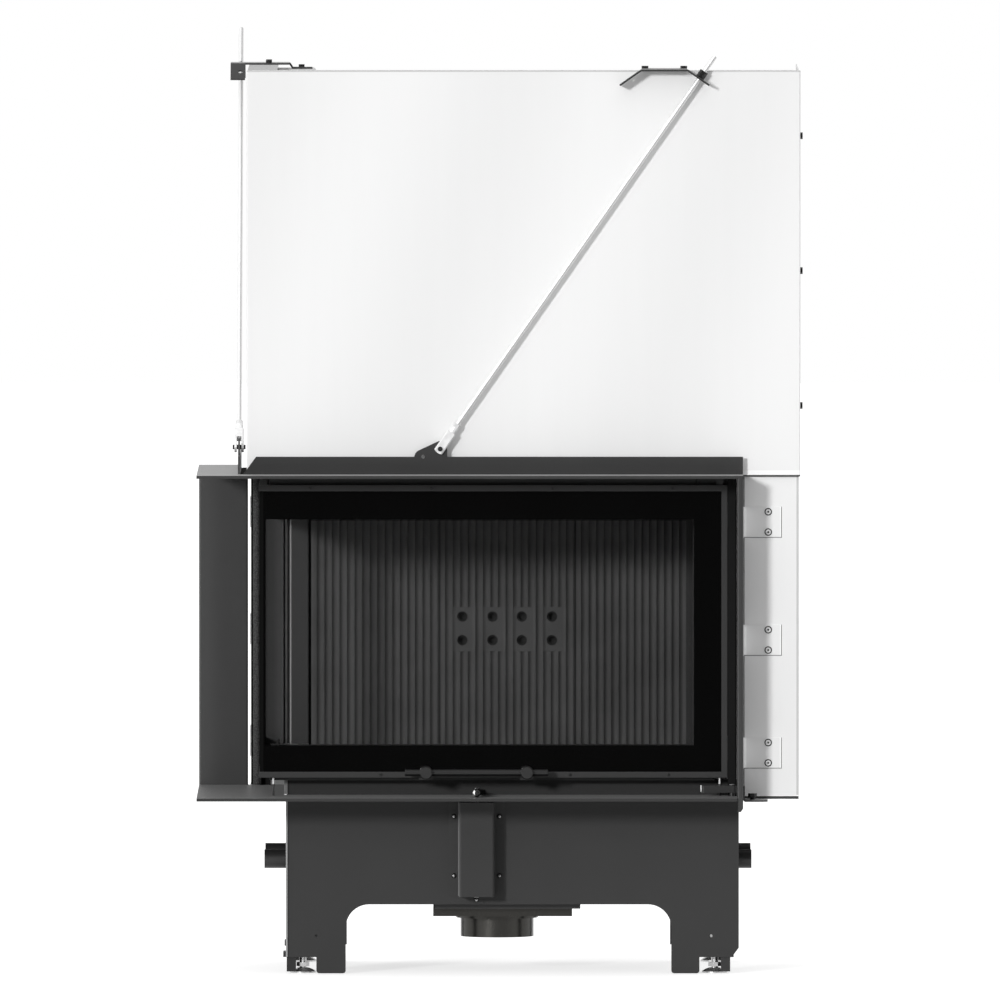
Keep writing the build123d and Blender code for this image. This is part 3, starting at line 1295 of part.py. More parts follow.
def air_box():
    """The flat outside-air chamber and the riser that feeds the firebox floor."""
    x0, x1, front, rear = AIR_BOX
    chamber = slab(x0, x1, behind(front), behind(rear), AIR_BOX_BOTTOM_Z, AIR_BOX_TOP_Z)
    rx0, rx1, riser_front, riser_rear = AIR_RISER
    riser = slab(
        rx0, rx1, behind(riser_front), behind(riser_rear), AIR_BOX_BOTTOM_Z, SHELL_FLOOR_Z - STEEL)
    inside = slab(
        x0 + AIR_SHEET, x1 - AIR_SHEET, behind(front + AIR_SHEET), behind(rear - AIR_SHEET),
        AIR_BOX_BOTTOM_Z + AIR_SHEET, AIR_BOX_TOP_Z - AIR_SHEET)
    shaft = slab(
        rx0 + AIR_SHEET, rx1 - AIR_SHEET, behind(riser_front + AIR_SHEET),
        behind(riser_rear - AIR_SHEET), AIR_BOX_BOTTOM_Z + AIR_SHEET, SHELL_FLOOR_Z - STEEL)
    mouth = rod_along(
        (SPIGOT_X, behind(SPIGOT_SETBACK), AIR_BOX_BOTTOM_Z - 1), (0, 0, 1),
        SPIGOT_DIAMETER / 2 - SPIGOT_WALL, AIR_SHEET + 2)
    slot = deep(arm_slot(front, front + AIR_SHEET), behind(front) - 1, behind(front + AIR_SHEET) + 1)
    return chamber + riser - inside - shaft - mouth - slot


def air_spigot():
    """The outside-air spigot: a folded plate, a raised ring and the round pipe."""
    x0, x1, front, rear = SPIGOT_PLATE
    low = AIR_BOX_BOTTOM_Z - SPIGOT_PLATE_HEIGHT
    plate = slab(x0, x1, behind(front), behind(rear), low, AIR_BOX_BOTTOM_Z)
    centre = Pos(SPIGOT_X, behind(SPIGOT_SETBACK), SPIGOT_BOTTOM_Z)
    pipe = extrude(Circle(SPIGOT_DIAMETER / 2), amount=low - SPIGOT_BOTTOM_Z)
    ring = Pos(0, 0, low - SPIGOT_BOTTOM_Z - SPIGOT_RING_HEIGHT) * extrude(
        Circle(SPIGOT_RING_DIAMETER / 2), amount=SPIGOT_RING_HEIGHT)
    bore = extrude(Circle(SPIGOT_DIAMETER / 2 - SPIGOT_WALL), amount=AIR_BOX_BOTTOM_Z - SPIGOT_BOTTOM_Z)
    return plate + centre * (pipe + ring) - centre * bore


def air_cover():
    """The hat-shaped cover over the air lever's shaft, with closed ends."""
    face = behind(BASE_SETBACK)
    x0, x1 = COVER_X
    sheet = COVER_SHEET
    section = folded_face([
        (x1 + COVER_FLANGE, face),
        (x1 - sheet, face),
        (x1 - sheet, face - COVER_DEPTH + sheet),
        (x0 + sheet, face - COVER_DEPTH + sheet),
        (x0 + sheet, face),
        (x0 - COVER_FLANGE, face),
    ], sheet, bend=1.5)
    body = upright(section, COVER_Z[0], COVER_Z[1])
    inset = COVER_END_INSET
    end = rectangle(x0 + inset, x1 - inset, face - COVER_DEPTH + inset, face)
    hole = Pos(LEVER_X, behind(LEVER_SETBACK)) * Circle(LEVER_SHAFT_DIAMETER / 2 + RUNNING_PLAY)
    top = upright(end - hole, COVER_Z[1] - sheet, COVER_Z[1])
    foot = upright(end - hole, COVER_Z[0], COVER_Z[0] + sheet)
    width, drop = COVER_TAB
    tab = slab(
        LEVER_X - width / 2, LEVER_X + width / 2, face - sheet, face,
        COVER_Z[0] - drop, COVER_Z[0] + sheet)
    return body + top + foot + tab


def air_cover_screws():
    """The five screws of the lever's cover."""
    face = behind(BASE_SETBACK) - COVER_SHEET
    screws = []
    for x in (COVER_X[0] - COVER_FLANGE / 2, COVER_X[1] + COVER_FLANGE / 2):
        for z in COVER_SCREW_HEIGHTS:
            screws.append(pan_screw((x, face, z), (0, -1, 0), *COVER_SCREW))
    screws.append(pan_screw((LEVER_X, face, COVER_TAB_SCREW_Z), (0, -1, 0), *COVER_SCREW))
    return screws


def gate_place():
    """The air gate's centre at rest, round the lever's shaft."""
    dx = SPIGOT_X - LEVER_X
    dy = SPIGOT_SETBACK - LEVER_SETBACK
    reach = hypot(dx, dy)
    heading = degrees(atan2(dx, dy)) + LEVER_REST_OPENING
    return reach, heading


def air_lever():
    """The lever, its upright shaft and the arm that carries the gate."""
    x = LEVER_X
    y = behind(LEVER_SETBACK)
    low = COVER_Z[0] - LEVER_SHAFT_DROP
    height = LEVER_Z + LEVER_SHAFT_RISE - low
    shaft = rod_along((x, y, low), (0, 0, 1), LEVER_SHAFT_DIAMETER / 2, height)
    seat = COVER_Z[0] + COVER_SHEET + SEAT_GAP
    shaft += rod_along((x, y, seat), (0, 0, 1), LEVER_COLLAR_DIAMETER / 2, LEVER_ARM_Z + 1 - seat)
    handle = rod_along((x, y, LEVER_Z), (0, -1, 0), LEVER_ROD_DIAMETER / 2, LEVER_LENGTH)
    reach, heading = gate_place()
    arm = slab(
        -LEVER_ARM_WIDTH / 2, LEVER_ARM_WIDTH / 2, 0, reach, 0, LEVER_ARM_THICK)
    drop = LEVER_ARM_Z - AIR_BOX_BOTTOM_Z - AIR_SHEET - GATE_PLAY - GATE_THICK
    pin = rod_along((0, reach, -drop), (0, 0, 1), GATE_PIN_DIAMETER / 2, drop)
    arm = Pos(x, y, LEVER_ARM_Z) * Rot(0, 0, -heading) * (arm + pin)
    return shaft + handle + arm


def air_gate():
    """The round plate that slides over the spigot's mouth."""
    reach, heading = gate_place()
    gate = Cylinder(
        GATE_DIAMETER / 2, GATE_THICK, align=(Align.CENTER, Align.CENTER, Align.MIN))
    low = AIR_BOX_BOTTOM_Z + AIR_SHEET + GATE_PLAY
    return Pos(LEVER_X, behind(LEVER_SETBACK), low) * Rot(0, 0, -heading) * Pos(0, reach, 0) * gate


def air_knob():
    """The turned knob on the lever's end."""
    knob = extrude(Circle(KNOB_DIAMETER / 2), amount=KNOB_LENGTH)
    knob = fillet(knob.edges().group_by(Axis.Z)[-1], KNOB_ROUND)
    knob = chamfer(knob.edges().group_by(Axis.Z)[0], KNOB_CHAMFER)
    start = (LEVER_X, behind(LEVER_SETBACK) - LEVER_LENGTH, LEVER_Z)
    return Plane(origin=start, z_dir=(0, -1, 0)) * knob


def door_stops():
    """The two set screws that the closed door rests on."""
    stops = []
    for x in (FRAME_LEFT + DOOR_STOP_INSET, STRAP_X):
        y = behind(DOOR_SETBACK + DOOR_THICK / 2)
        height = DOOR_BOTTOM_Z - FRAME_BOTTOM_Z - SEAT_GAP
        stops.append(rod_along((x, y, FRAME_BOTTOM_Z), (0, 0, 1), DOOR_STOP_DIAMETER / 2, height))
    return stops


def lock_lever():
    """The flat lever under the door that blocks its glides when it is turned in."""
    y0 = behind(LOCK_SETBACK)
    x0, x1 = LOCK_X
    outline = rectangle(x0, x1, y0, y0 + LOCK_THICK)
    outline = fillet(outline.vertices(), LOCK_THICK / 2 - 0.2)
    pivot = Pos(x1 - LOCK_PIVOT_INSET, y0 + LOCK_THICK / 2)
    outline -= pivot * Circle(LOCK_PIVOT_DIAMETER / 2 + RUNNING_PLAY)
    return upright(outline, LOCK_Z, LOCK_Z + LOCK_HEIGHT)


def lock_pivot():
    """The shouldered pin that the lock lever turns on."""
    y = behind(LOCK_SETBACK) + LOCK_THICK / 2
    x = LOCK_X[1] - LOCK_PIVOT_INSET
    top = LOCK_Z + LOCK_HEIGHT + SEAT_GAP
    shoulder = LOCK_PIVOT_SHOULDER / 2
    pin = rod_along(
        (x, y, FRAME_BOTTOM_Z), (0, 0, 1), LOCK_PIVOT_DIAMETER / 2, top - FRAME_BOTTOM_Z)
    foot = rod_along(
        (x, y, FRAME_BOTTOM_Z), (0, 0, 1), shoulder, LOCK_Z - SEAT_GAP - FRAME_BOTTOM_Z)
    head = rod_along((x, y, top), (0, 0, 1), shoulder, LOCK_PIVOT_HEAD)
    return pin + foot + head


# ================================================================ the nodes
def write_frame():
    """The building-in frame with its brackets and screws."""
    save("frame_top_flange", frame_top_flange())
    save("frame_bottom_flange", frame_bottom_flange())
    save("frame_right_jamb", frame_right_jamb())
    save("frame_rear_jamb", side_copy(frame_jamb()))
    bracket = corner_bracket()
    save("corner_brackets", bracket, side_copy(bracket))
    brackets = [jamb_bracket(z) for z in BRACKET_HEIGHTS]
    save("jamb_brackets", *brackets, *[side_copy(b) for b in brackets])
    screws = [jamb_bracket_screws(z) for z in BRACKET_HEIGHTS]
    save("jamb_bracket_screws", *screws, *[side_copy(s) for s in screws], *door_stops(), lock_pivot())


def write_tie_rods():
    """Both tie rods with their forks, hardware and top brackets."""
    front_tip, side_tip = ROD_TIPS
    save("tie_rods", tie_rod(front_tip), side_copy(tie_rod(side_tip), ROD_SHIFT))
    save("tie_rod_forks", tie_rod_fork(), side_copy(tie_rod_fork(), ROD_SHIFT))
    hardware = tie_rod_hardware()
    save("tie_rod_hardware", *hardware, *[side_copy(h, ROD_SHIFT) for h in hardware])
    save("top_brackets", top_bracket(), side_copy(top_bracket(), ROD_SHIFT))


def write_casing():
    """The galvanised casing and its bolts."""
    save("casing_front_panel", casing_front_panel())
    save("casing_left_panel", casing_left_panel())
    save("casing_right_panel", casing_right_panel())
    save("casing_rear_panel", casing_rear_panel())
    save("casing_lower_panels", casing_lower_panel(), side_copy(casing_lower_panel()))
    bolts = casing_side_bolts() + top_bracket_bolts() + air_cover_screws() + [corner_bolt()]
    bolts += [side_copy(bolt) for bolt in casing_side_bolts() + [corner_bolt()]]
    bolts += top_bracket_nuts()
    bolts += [side_copy(bolt, ROD_SHIFT) for bolt in top_bracket_bolts() + top_bracket_nuts()]
    save("black_bolts", *bolts)


def write_lift():
    """The beams, rails, pulleys, cables and counterweights."""
    save("lift_beams", front_beam(), side_beam())
    save("guide_rails", guide_rail(), side_copy(guide_rail()))
    save("pulley_hangers", pulley_hanger(), side_copy(pulley_hanger()))
    save("pulley_axles", pulley_axle(), side_copy(pulley_axle()))
    save("right_pulley", pulley())
    save("left_pulley", side_copy(pulley()))
    save("right_counterweight", counterweight())
    save("left_counterweight", side_copy(counterweight()))
    save("right_lift_cable", lift_cable())
    save("left_lift_cable", side_copy(lift_cable()))


def write_door():
    """The lift-up door."""
    save("door_glass", door_glass())
    save("door_bottom_rail", door_rail(DOOR_BOTTOM_Z))
    save("door_top_rail", door_rail(DOOR_TOP_Z - DOOR_RAIL))
    save("door_stiles", door_stile(), side_copy(door_stile()))
    save("door_seal", door_seal())
    save("door_handle", *door_handle())
    save("door_lift_straps", door_lift_strap(), side_copy(door_lift_strap()))
    save("door_glides", door_glides(), side_copy(door_glides()))


def write_firebox():
    """The firebox, its linings and the smoke outlet."""
    save("firebox_shell", firebox_shell())
    save("rear_left_post", rear_left_post())
    save("smoke_dome", smoke_dome())
    save("flue_collar", flue_collar())
    left, centre, right = lining_back()
    save("lining_back_left", left)
    save("lining_back_centre", centre)
    save("lining_back_right", right)
    save("lining_right", lining_right())
    save("lining_floor", *lining_floor())
    save("baffle_plate", baffle_plate())
    save("log_retainer", log_retainer())


def write_base():
    """The base, its feet and the outside-air supply."""
    save("base_front_panel", base_front_panel())
    save("base_body", base_body())
    save("carrying_tubes", *[carrying_tube(s) for s in TUBE_SETBACKS])
    sides = ("left", "right")
    ends = ("front", "rear")
    for side, x in zip(sides, FOOT_X):
        for end, setback in zip(ends, FOOT_SETBACKS):
            save(f"foot_{end}_{side}", levelling_foot(x, setback))
    save("air_box", air_box())
    save("air_spigot", air_spigot())
    save("air_cover", air_cover())
    save("air_lever", air_lever())
    save("air_knob", air_knob())
    save("air_gate", air_gate())
    save("door_lock_lever", lock_lever())


os.makedirs("parts", exist_ok=True)
write_frame()
write_tie_rods()
write_casing()
write_lift()
write_door()
write_firebox()
write_base()
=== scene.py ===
"""The looks of the corner fireplace insert: finishes, small fittings, light and view."""

import math

import bpy
from mathutils import Matrix, Vector


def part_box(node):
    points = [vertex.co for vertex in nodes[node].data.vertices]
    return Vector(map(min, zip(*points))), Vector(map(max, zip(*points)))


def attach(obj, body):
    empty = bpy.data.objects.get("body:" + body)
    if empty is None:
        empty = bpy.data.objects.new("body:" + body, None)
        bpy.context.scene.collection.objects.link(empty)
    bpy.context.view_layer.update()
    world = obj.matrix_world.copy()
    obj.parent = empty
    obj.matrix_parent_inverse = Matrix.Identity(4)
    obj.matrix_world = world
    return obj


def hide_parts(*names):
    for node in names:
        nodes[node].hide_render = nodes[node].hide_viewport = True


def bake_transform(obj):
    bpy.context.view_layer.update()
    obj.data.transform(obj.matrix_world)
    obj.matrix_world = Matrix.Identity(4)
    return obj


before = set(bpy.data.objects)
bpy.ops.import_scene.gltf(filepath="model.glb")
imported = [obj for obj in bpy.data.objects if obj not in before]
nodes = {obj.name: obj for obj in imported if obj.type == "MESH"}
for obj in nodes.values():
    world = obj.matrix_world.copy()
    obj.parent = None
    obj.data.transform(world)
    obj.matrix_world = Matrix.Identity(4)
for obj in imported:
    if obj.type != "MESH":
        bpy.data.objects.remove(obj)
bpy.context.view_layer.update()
MM = 0.001


# --- shader workshop -----------------------

class Reading:
    """A value taken from a shader node, used in sums like a number."""

    def __init__(self, finish, socket):
        self.finish = finish
        self.socket = socket

    def __add__(self, other):
        return self.finish.sum("ADD", self, other)

    def __radd__(self, other):
        return self.finish.sum("ADD", other, self)

    def __sub__(self, other):
        return self.finish.sum("SUBTRACT", self, other)

    def __rsub__(self, other):
        return self.finish.sum("SUBTRACT", other, self)

    def __mul__(self, other):
        return self.finish.sum("MULTIPLY", self, other)

    def __gt__(self, other):
        return self.finish.sum("GREATER_THAN", self, other)

    def __lt__(self, other):
        return self.finish.sum("LESS_THAN", self, other)


class Finish:
    """A material or world, and the nodes that make its look."""

    def __init__(self, owner):
        owner.use_nodes = True
        self.owner = owner
        self.tree = owner.node_tree
        self.tree.nodes.clear()

    def node(self, kind, settings, sockets, out=0):
        """One node: its type, its settings, then what its sockets are given."""
        made = self.tree.nodes.new(kind)
        for name, value in settings.items():
            setattr(made, name, value)
        for name, value in sockets.items():
            if isinstance(value, Reading):
                self.tree.links.new(value.socket, made.inputs[name])
            else:
                made.inputs[name].default_value = value
        return Reading(self, made.outputs[out])

    def sum(self, operation, first, second):
        return self.node("ShaderNodeMath", {"operation": operation}, {0: first, 1: second})

    def larger(self, first, second):
        return self.sum("MAXIMUM", first, second)

    def place(self):
        return self.node("ShaderNodeTexCoord", {}, {}, "Object")

    def axis(self, name):
        return self.node("ShaderNodeSeparateXYZ", {}, {0: self.place()}, name)

    def stretched(self, scale):
        return self.node("ShaderNodeMapping", {}, {"Vector": self.place(), "Scale": scale})

    def noise(self, scale, detail=4.0, stretch=(1, 1, 1)):
        sockets = {
            "Vector": self.stretched(stretch), "Scale": scale, "Detail": detail, "Roughness": 0.55}
        return self.node("ShaderNodeTexNoise", {}, sockets, "Fac")

    def cells(self, scale, stretch=(1, 1, 1)):
        sockets = {"Vector": self.stretched(stretch), "Scale": scale}
        return self.node("ShaderNodeTexVoronoi", {}, sockets, "Distance")

    def spread(self, value, low, high, to_low, to_high, kind="LINEAR"):
        """The value between low and high, laid out from to_low to to_high."""
        sockets = {0: value, 1: low, 2: high, 3: to_low, 4: to_high}
        settings = {"clamp": True, "interpolation_type": kind}
        return self.node("ShaderNodeMapRange", settings, sockets)

    def swing(self, noise, low, high):
        """Most of a noise's ups and downs, laid out from low to high."""
        return self.spread(noise, 0.3, 0.7, low, high)

    def ray(self, kind):
        """One for a ray of that kind: Camera, Glossy or Transmission."""
        return self.node("ShaderNodeLightPath", {}, {}, f"Is {kind} Ray")

    def mix(self, share, first, second):
        """Two colours mixed."""
        sockets = {0: share, 6: colour(first), 7: colour(second)}
        return self.node("ShaderNodeMix", {"data_type": "RGBA"}, sockets, 2)

    def window(self, left, right, low, high):
        """One inside a rectangle of the front view, given in millimetres, and nought outside."""
        x, z = self.axis("X"), self.axis("Z")
        return (x > left * MM) * (x < right * MM) * (z > low * MM) * (z < high * MM)

    def relief(self, height, strength, depth):
        sockets = {"Height": height, "Strength": strength, "Distance": depth}
        return self.node("ShaderNodeBump", {}, sockets)

    def paint(self, **sockets):
        """The shader that every solid finish ends in."""
        named = {key.replace("_", " "): value for key, value in sockets.items()}
        if "Base Color" in named:
            named["Base Color"] = colour(named["Base Color"])
        return self.node("ShaderNodeBsdfPrincipled", {}, named)

    def coat(self, tone, noise, gloss, metal, *relief):
        """Ends a plain finish. Its roughness swings with a noise; relief may be left out."""
        sockets = {
            "Base_Color": tone, "Roughness": self.swing(noise, *gloss), "Metallic": metal}
        if relief:
            sockets["Normal"] = self.relief(*relief)
        return self.done(self.paint(**sockets))

    def done(self, shader, kind="ShaderNodeOutputMaterial"):
        self.tree.links.new(shader.socket, self.tree.nodes.new(kind).inputs["Surface"])
        return self.owner


def colour(value):
    """A grey given as one number, or a colour, as the four numbers of a socket."""
    if isinstance(value, Reading):
        return value
    if isinstance(value, (int, float)):
        return (value, value, value, 1.0)
    return (*value, 1.0)


def new_finish(name):
    return Finish(bpy.data.materials.new(name))


# --- finishes ------------------------------

def stove_paint(name, shade, gloss, bloom=0.0, marks=(), shine=0.5):
    """High-temperature stove paint: dark, satin, with the fine tooth of a sprayed coat.

    bloom is the pale look that it takes on faces seen almost edge on, and shine the strength
    of its reflections. marks are painted light and shade: each a mask and the shade laid inside
    it."""
    paint = new_finish(name)
    tooth = paint.noise(1400, 3.0)
    cloud = paint.noise(5.0, 3.0)
    tone = paint.mix(paint.swing(cloud, 0, 1), shade * 0.88, shade * 1.12)
    # painted light and shade, mark by mark
    for share, other in marks:
        tone = paint.mix(share(paint), tone, other)
    sheen = paint.swing(tooth, gloss - 0.05, gloss + 0.06)
    return paint.done(paint.paint(
        Base_Color=tone, Roughness=sheen + (cloud - 0.5) * 0.06, Metallic=0.0,
        Sheen_Weight=bloom, Sheen_Roughness=0.3, Specular_IOR_Level=shine,
        Normal=paint.relief(tooth, 0.16, 0.00025)))


def galvanised_sheet(name, marks=()):
    """Bright zinc-coated sheet: pale, with faint crystals, drawn streaks and soft slanting bands
    of painted light.

    marks are painted shade and highlights at edges, rims and seams in the front view: a rectangle
    in millimetres and its shade."""
    zinc = new_finish(name)
    crystals = zinc.cells(95, (1, 1, 0.7))
    streaks = zinc.noise(6.0, 4.0, (6, 6, 0.35))
    cloud = zinc.noise(2.2, 2.0)
    # painted light: soft slanting bands, lighter and greyer by turns, mixed with the real drawn
    # streaks
    across = zinc.axis("X") - zinc.axis("Z") * LIGHT_BAND_SLANT
    light_bands = zinc.sum("COSINE", (across - LIGHT_BAND_CREST) * (math.tau / LIGHT_BAND_LENGTH), 0.0)
    shade = zinc.spread(light_bands + (streaks - 0.5) * 0.8, -1.3, 1.3, 0, 1)
    tone = zinc.mix(shade, SHEET_SHADE * 0.96, SHEET_SHADE * 1.04)
    for rectangle, other in marks:
        tone = zinc.mix(zinc.window(*rectangle), tone, other)
    gloss = 0.56 + (crystals - 0.4) * 0.08 + (cloud - 0.5) * 0.10
    return zinc.done(zinc.paint(
        Base_Color=tone, Roughness=gloss, Metallic=0.0,
        Normal=zinc.relief(crystals, 0.02, 0.0004)))


SHEET_SHADE = 0.835
LIGHT_BAND_SLANT = 0.317  # how the soft bands of painted light on the sheet lean
LIGHT_BAND_LENGTH = 0.425  # metres from one band of painted light to the next
# where a band of painted light is brightest, across the sheet in metres
LIGHT_BAND_CREST = -0.255


def bracket_rim_shadows():
    """Painted shadow: fine dark lines where each jamb bracket's edge stands off the lower panel.
    """
    rims = []
    for height in SCREW_HEIGHTS:
        low, high = height - BRACKET_HALF, height + BRACKET_HALF
        rims.append(((BRACKET_RIGHT, BRACKET_RIGHT + RIM_SHADOW, low - RIM_SHADOW, high), 0.03))
        rims.append(((FRAME_RIGHT, BRACKET_RIGHT + RIM_SHADOW, low - RIM_SHADOW, low), 0.06))
    return rims


def bright_zinc(name, shade, gloss, metal):
    """Zinc-plated fittings: bright metal, slightly clouded."""
    zinc = new_finish(name)
    cloud = zinc.noise(60, 4.0)
    scratch = zinc.noise(700, 2.0, (1, 1, 0.2))
    tone = zinc.mix(zinc.spread(cloud, 0.35, 0.7, 0, 1), shade * 0.82, shade)
    return zinc.coat(tone, cloud, (gloss - 0.07, gloss + 0.10), metal, scratch, 0.06, 0.0002)


ROD_SPLIT = 90.0  # the front rod lies before this setback, the side rod behind
ROD_REFLECTION_LINE = (0.9, 2.2)  # the edges of the painted dark reflection line, right of a rod's middle
FORK_PIN_TOP = 8.0  # the forks' pins reach so far above the rods' feet


def across_rod(rod):
    """How far to the right of its middle a point lies on a tie rod, in front view, in metres."""
    front = rod.axis("Y") < (FRONT + ROD_SPLIT) * MM
    x, z = rod.axis("X"), rod.axis("Z")
    way = ROD_LINE.normalized()
    on_front = (x - ROD_FOOT[0] * MM) * way.z - (z - ROD_FOOT[2] * MM) * way.x
    on_side = x - (LEFT + ROD_FOOT[1]) * MM
    return on_front * front + on_side * (1.0 - front)


def drawn_rod():
    """Bright drawn rod, with a painted reflection of the dark room: a dark line right of its
    middle.
    """
    rod = new_finish("drawn_rod")
    fine = rod.noise(500, 2.0, (1, 1, 0.1))
    off = across_rod(rod)
    # painted reflection: the dark room mirrored as a line right of the rod's middle
    reflection_line = (off > ROD_REFLECTION_LINE[0] * MM) * (off < ROD_REFLECTION_LINE[1] * MM)
    tone = rod.mix(reflection_line, rod.mix(fine, 0.82, 0.9), 0.42)
    return rod.coat(tone, fine, (0.3, 0.42), 0.2, fine, 0.02, 0.0002)


def fork_fittings():
    """White zinc on the lock nuts, and the dark pins of the forks."""
    zinc = new_finish("fork_fittings")
    cloud = zinc.noise(60, 3.0)
    pins = zinc.axis("Z") < (ROD_FOOT[2] + FORK_PIN_TOP) * MM
    tone = zinc.mix(pins, zinc.mix(cloud, 0.7, 0.8), 0.02)
    return zinc.coat(tone, cloud, (0.3, 0.4), 0.25)


def grained(name, noise, tones, gloss, metal, relief, swing=(0, 1)):
    """Plain metal or plastic. One noise, given as scale, detail and stretch, shapes all of it."""
    finish = new_finish(name)
    grain = finish.noise(*noise)
    tone = finish.mix(finish.spread(grain, *swing, 0, 1), *tones)
    return finish.coat(tone, grain, gloss, metal, grain, *relief)


def plated_knob():
    """The knob's dark plating, with a painted highlight down its left side."""
    knob = new_finish("plated_knob")
    cloud = knob.noise(90, 3.0)
    # painted highlight down the knob's left side
    highlit = knob.axis("X") < KNOB_HIGHLIGHT_EDGE * MM
    tone = knob.mix(highlit, knob.mix(cloud, 0.04, 0.07), 0.85)
    return knob.coat(tone, cloud, (0.2, 0.3), 0.9)


JOINT_HALF = 0.7  # half the width of a joint between two boards
PORT_HALF = 9.6  # the painted shade inside a port, to each side of its middle
PORT_BAND = (540, 610)
PORT_SKIN = 0.8  # how far behind a pad's face that painted shade starts


def mineral_lining(name, shade, joints=(), shadow_strips=(), ports=()):
    """Dark pressed lining boards: matt, with a fine mineral grain and a few pale specks.

    joints and ports are places along X, and the strips between them are rectangles of the front
    view. The strips and the insides of the ports take painted shade; the joints are dark as they
    are."""
    board = new_finish(name)
    grain = board.noise(900, 5.0)
    cloud = board.noise(9, 3.0)
    tone = board.mix(board.swing(cloud, 0, 1), shade * 0.85, shade * 1.15)
    for x in joints:
        tone = board.mix(
            board.window(x - JOINT_HALF, x + JOINT_HALF, *PANEL), tone, shade * 0.2)
    # painted shade: the strips, then the insides of the ports
    for rectangle in shadow_strips:
        tone = board.mix(board.window(*rectangle), tone, shade * 0.3)
    for x in ports:
        inside = board.window(x - PORT_HALF, x + PORT_HALF, *PORT_BAND)
        behind = board.axis("Y") > (RIDGE_Y + PAD_STEP + PORT_SKIN) * MM
        tone = board.mix(inside * behind, tone, shade * 0.25)
    speck = board.mix(board.spread(grain, 0.62, 0.72, 0, 0.4), tone, shade * 2)
    return board.coat(speck, grain, (0.62, 0.8), 0.0, grain, 0.25, 0.0005)


# the clear part of the glass, in metres
CLEAR_LEFT = -0.4006
CLEAR_RIGHT = 0.330
CLEAR_LOW = 0.391
CLEAR_HIGH = 0.776
SIDE_BORDER = 0.03  # the printed borders of the side pane
BENT_CORNER = 0.006
SEE_THROUGH = 0.80


def printed_glass():
    """Fire glass: clear in the middle, with a black enamel border printed round it.

    Where it bends round the corner, the enamel looks matt."""
    glass = new_finish("printed_glass")
    low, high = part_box("door_glass")
    x, y, z = glass.axis("X"), glass.axis("Y"), glass.axis("Z")
    tall = (z > CLEAR_LOW) * (z < CLEAR_HIGH)
    front = (x > CLEAR_LEFT) * (x < CLEAR_RIGHT)
    side = (x < low.x + SIDE_BORDER) * (y > low.y + SIDE_BORDER) * (y < high.y - SIDE_BORDER)
    clear = tall * glass.larger(front, side)
    smear = glass.noise(14, 4.0, (1, 1, 0.4))
    corner = (x < low.x + BENT_CORNER) * (y < low.y + BENT_CORNER)
    pane = glass.paint(
        Base_Color=glass.mix(smear, 0.0012, 0.002),
        Roughness=glass.swing(smear, 0.02, 0.05),
        Alpha=1.0 - clear * SEE_THROUGH)
    matt = glass.node("ShaderNodeBsdfDiffuse", {}, {"Color": colour(0.006)})
    return glass.done(glass.node("ShaderNodeMixShader", {}, {0: corner, 1: pane, 2: matt}))


def seal_rope():
    """Braided glass-fibre rope, dark grey."""
    rope = new_finish("seal_rope")
    braid = rope.cells(420)
    fluff = rope.noise(1500, 4.0)
    tone = rope.mix(rope.spread(braid, 0.1, 0.7, 0, 1), 0.09, 0.03)
    return rope.coat(tone, fluff, (0.85, 0.98), 0.0, braid + fluff * 0.4, 0.8, 0.0015)


def wire_rope():
    """Stranded steel cable: bright strands wound round the core."""
    rope = new_finish("wire_rope")
    strands = rope.node(
        "ShaderNodeTexWave", {"bands_direction": "DIAGONAL"},
        {"Vector": rope.place(), "Scale": 260.0, "Distortion": 0.4}, "Fac")
    tone = rope.mix(strands, 0.2, 0.55)
    return rope.done(rope.paint(
        Base_Color=tone, Roughness=rope.spread(strands, 0, 1, 0.5, 0.3), Metallic=0.85,
        Normal=rope.relief(strands, 0.6, 0.0006)))


# measures shared with the solids, in millimetres
FRONT = -328.2  # Y of the frame's front edge, from which each setback counts
LEFT = -516.0  # X of the frame's left edge
FRAME_RIGHT = 413.4
FLANGE_TOP = 305.0  # the lower flange's upper face
BASE_SETBACK = 152.0  # the base's front
ROD_FOOT = (-101.8, 71.5, 897.5)  # the front rod's pin: X, setback, Z
ROD_HEAD = (342.6, 71.5, 1532.8)
ROD_LINE = Vector((ROD_HEAD[0] - ROD_FOOT[0], 0, ROD_HEAD[2] - ROD_FOOT[2]))
SCREW_HEIGHTS = (772.5, 571.5, 379.3)  # the middles of the jamb brackets
BRACKET_RIGHT = 478.5
BRACKET_HALF = 25.8  # half of a bracket's height
BRACKET_SHEET = 2.0
BRACKET_LEG = 30.0
RIM_SHADOW = 1.15  # width of the painted shadow line beside a bracket
PORTS = (-64.3, -12.7, 37.5, 89.1)  # X of the lining's air ports
RIDGE_Y = 148.3  # the front of the back lining's ridges
PAD_STEP = 2.2  # how far the ports' pads lie behind the ridges
KNOB_HIGHLIGHT_EDGE = -42.6  # left of here the knob carries a painted highlight
PANEL = (300, 860)  # heights that take in a whole lower panel
FAR_LEFT = -600  # clear of the casing on both sides
FAR_RIGHT = 600
RIGHT_EDGE = 520  # just clear of the casing's right edge

FRAME_SHADE = 0.020
BASE_SHADE = 0.0165


def frame_paint(name, bloom, marks=()):
    return stove_paint(name, FRAME_SHADE, 0.46, bloom, marks)


def base_paint(name, marks=()):
    return stove_paint(name, BASE_SHADE, 0.5, marks=marks, shine=0.42)


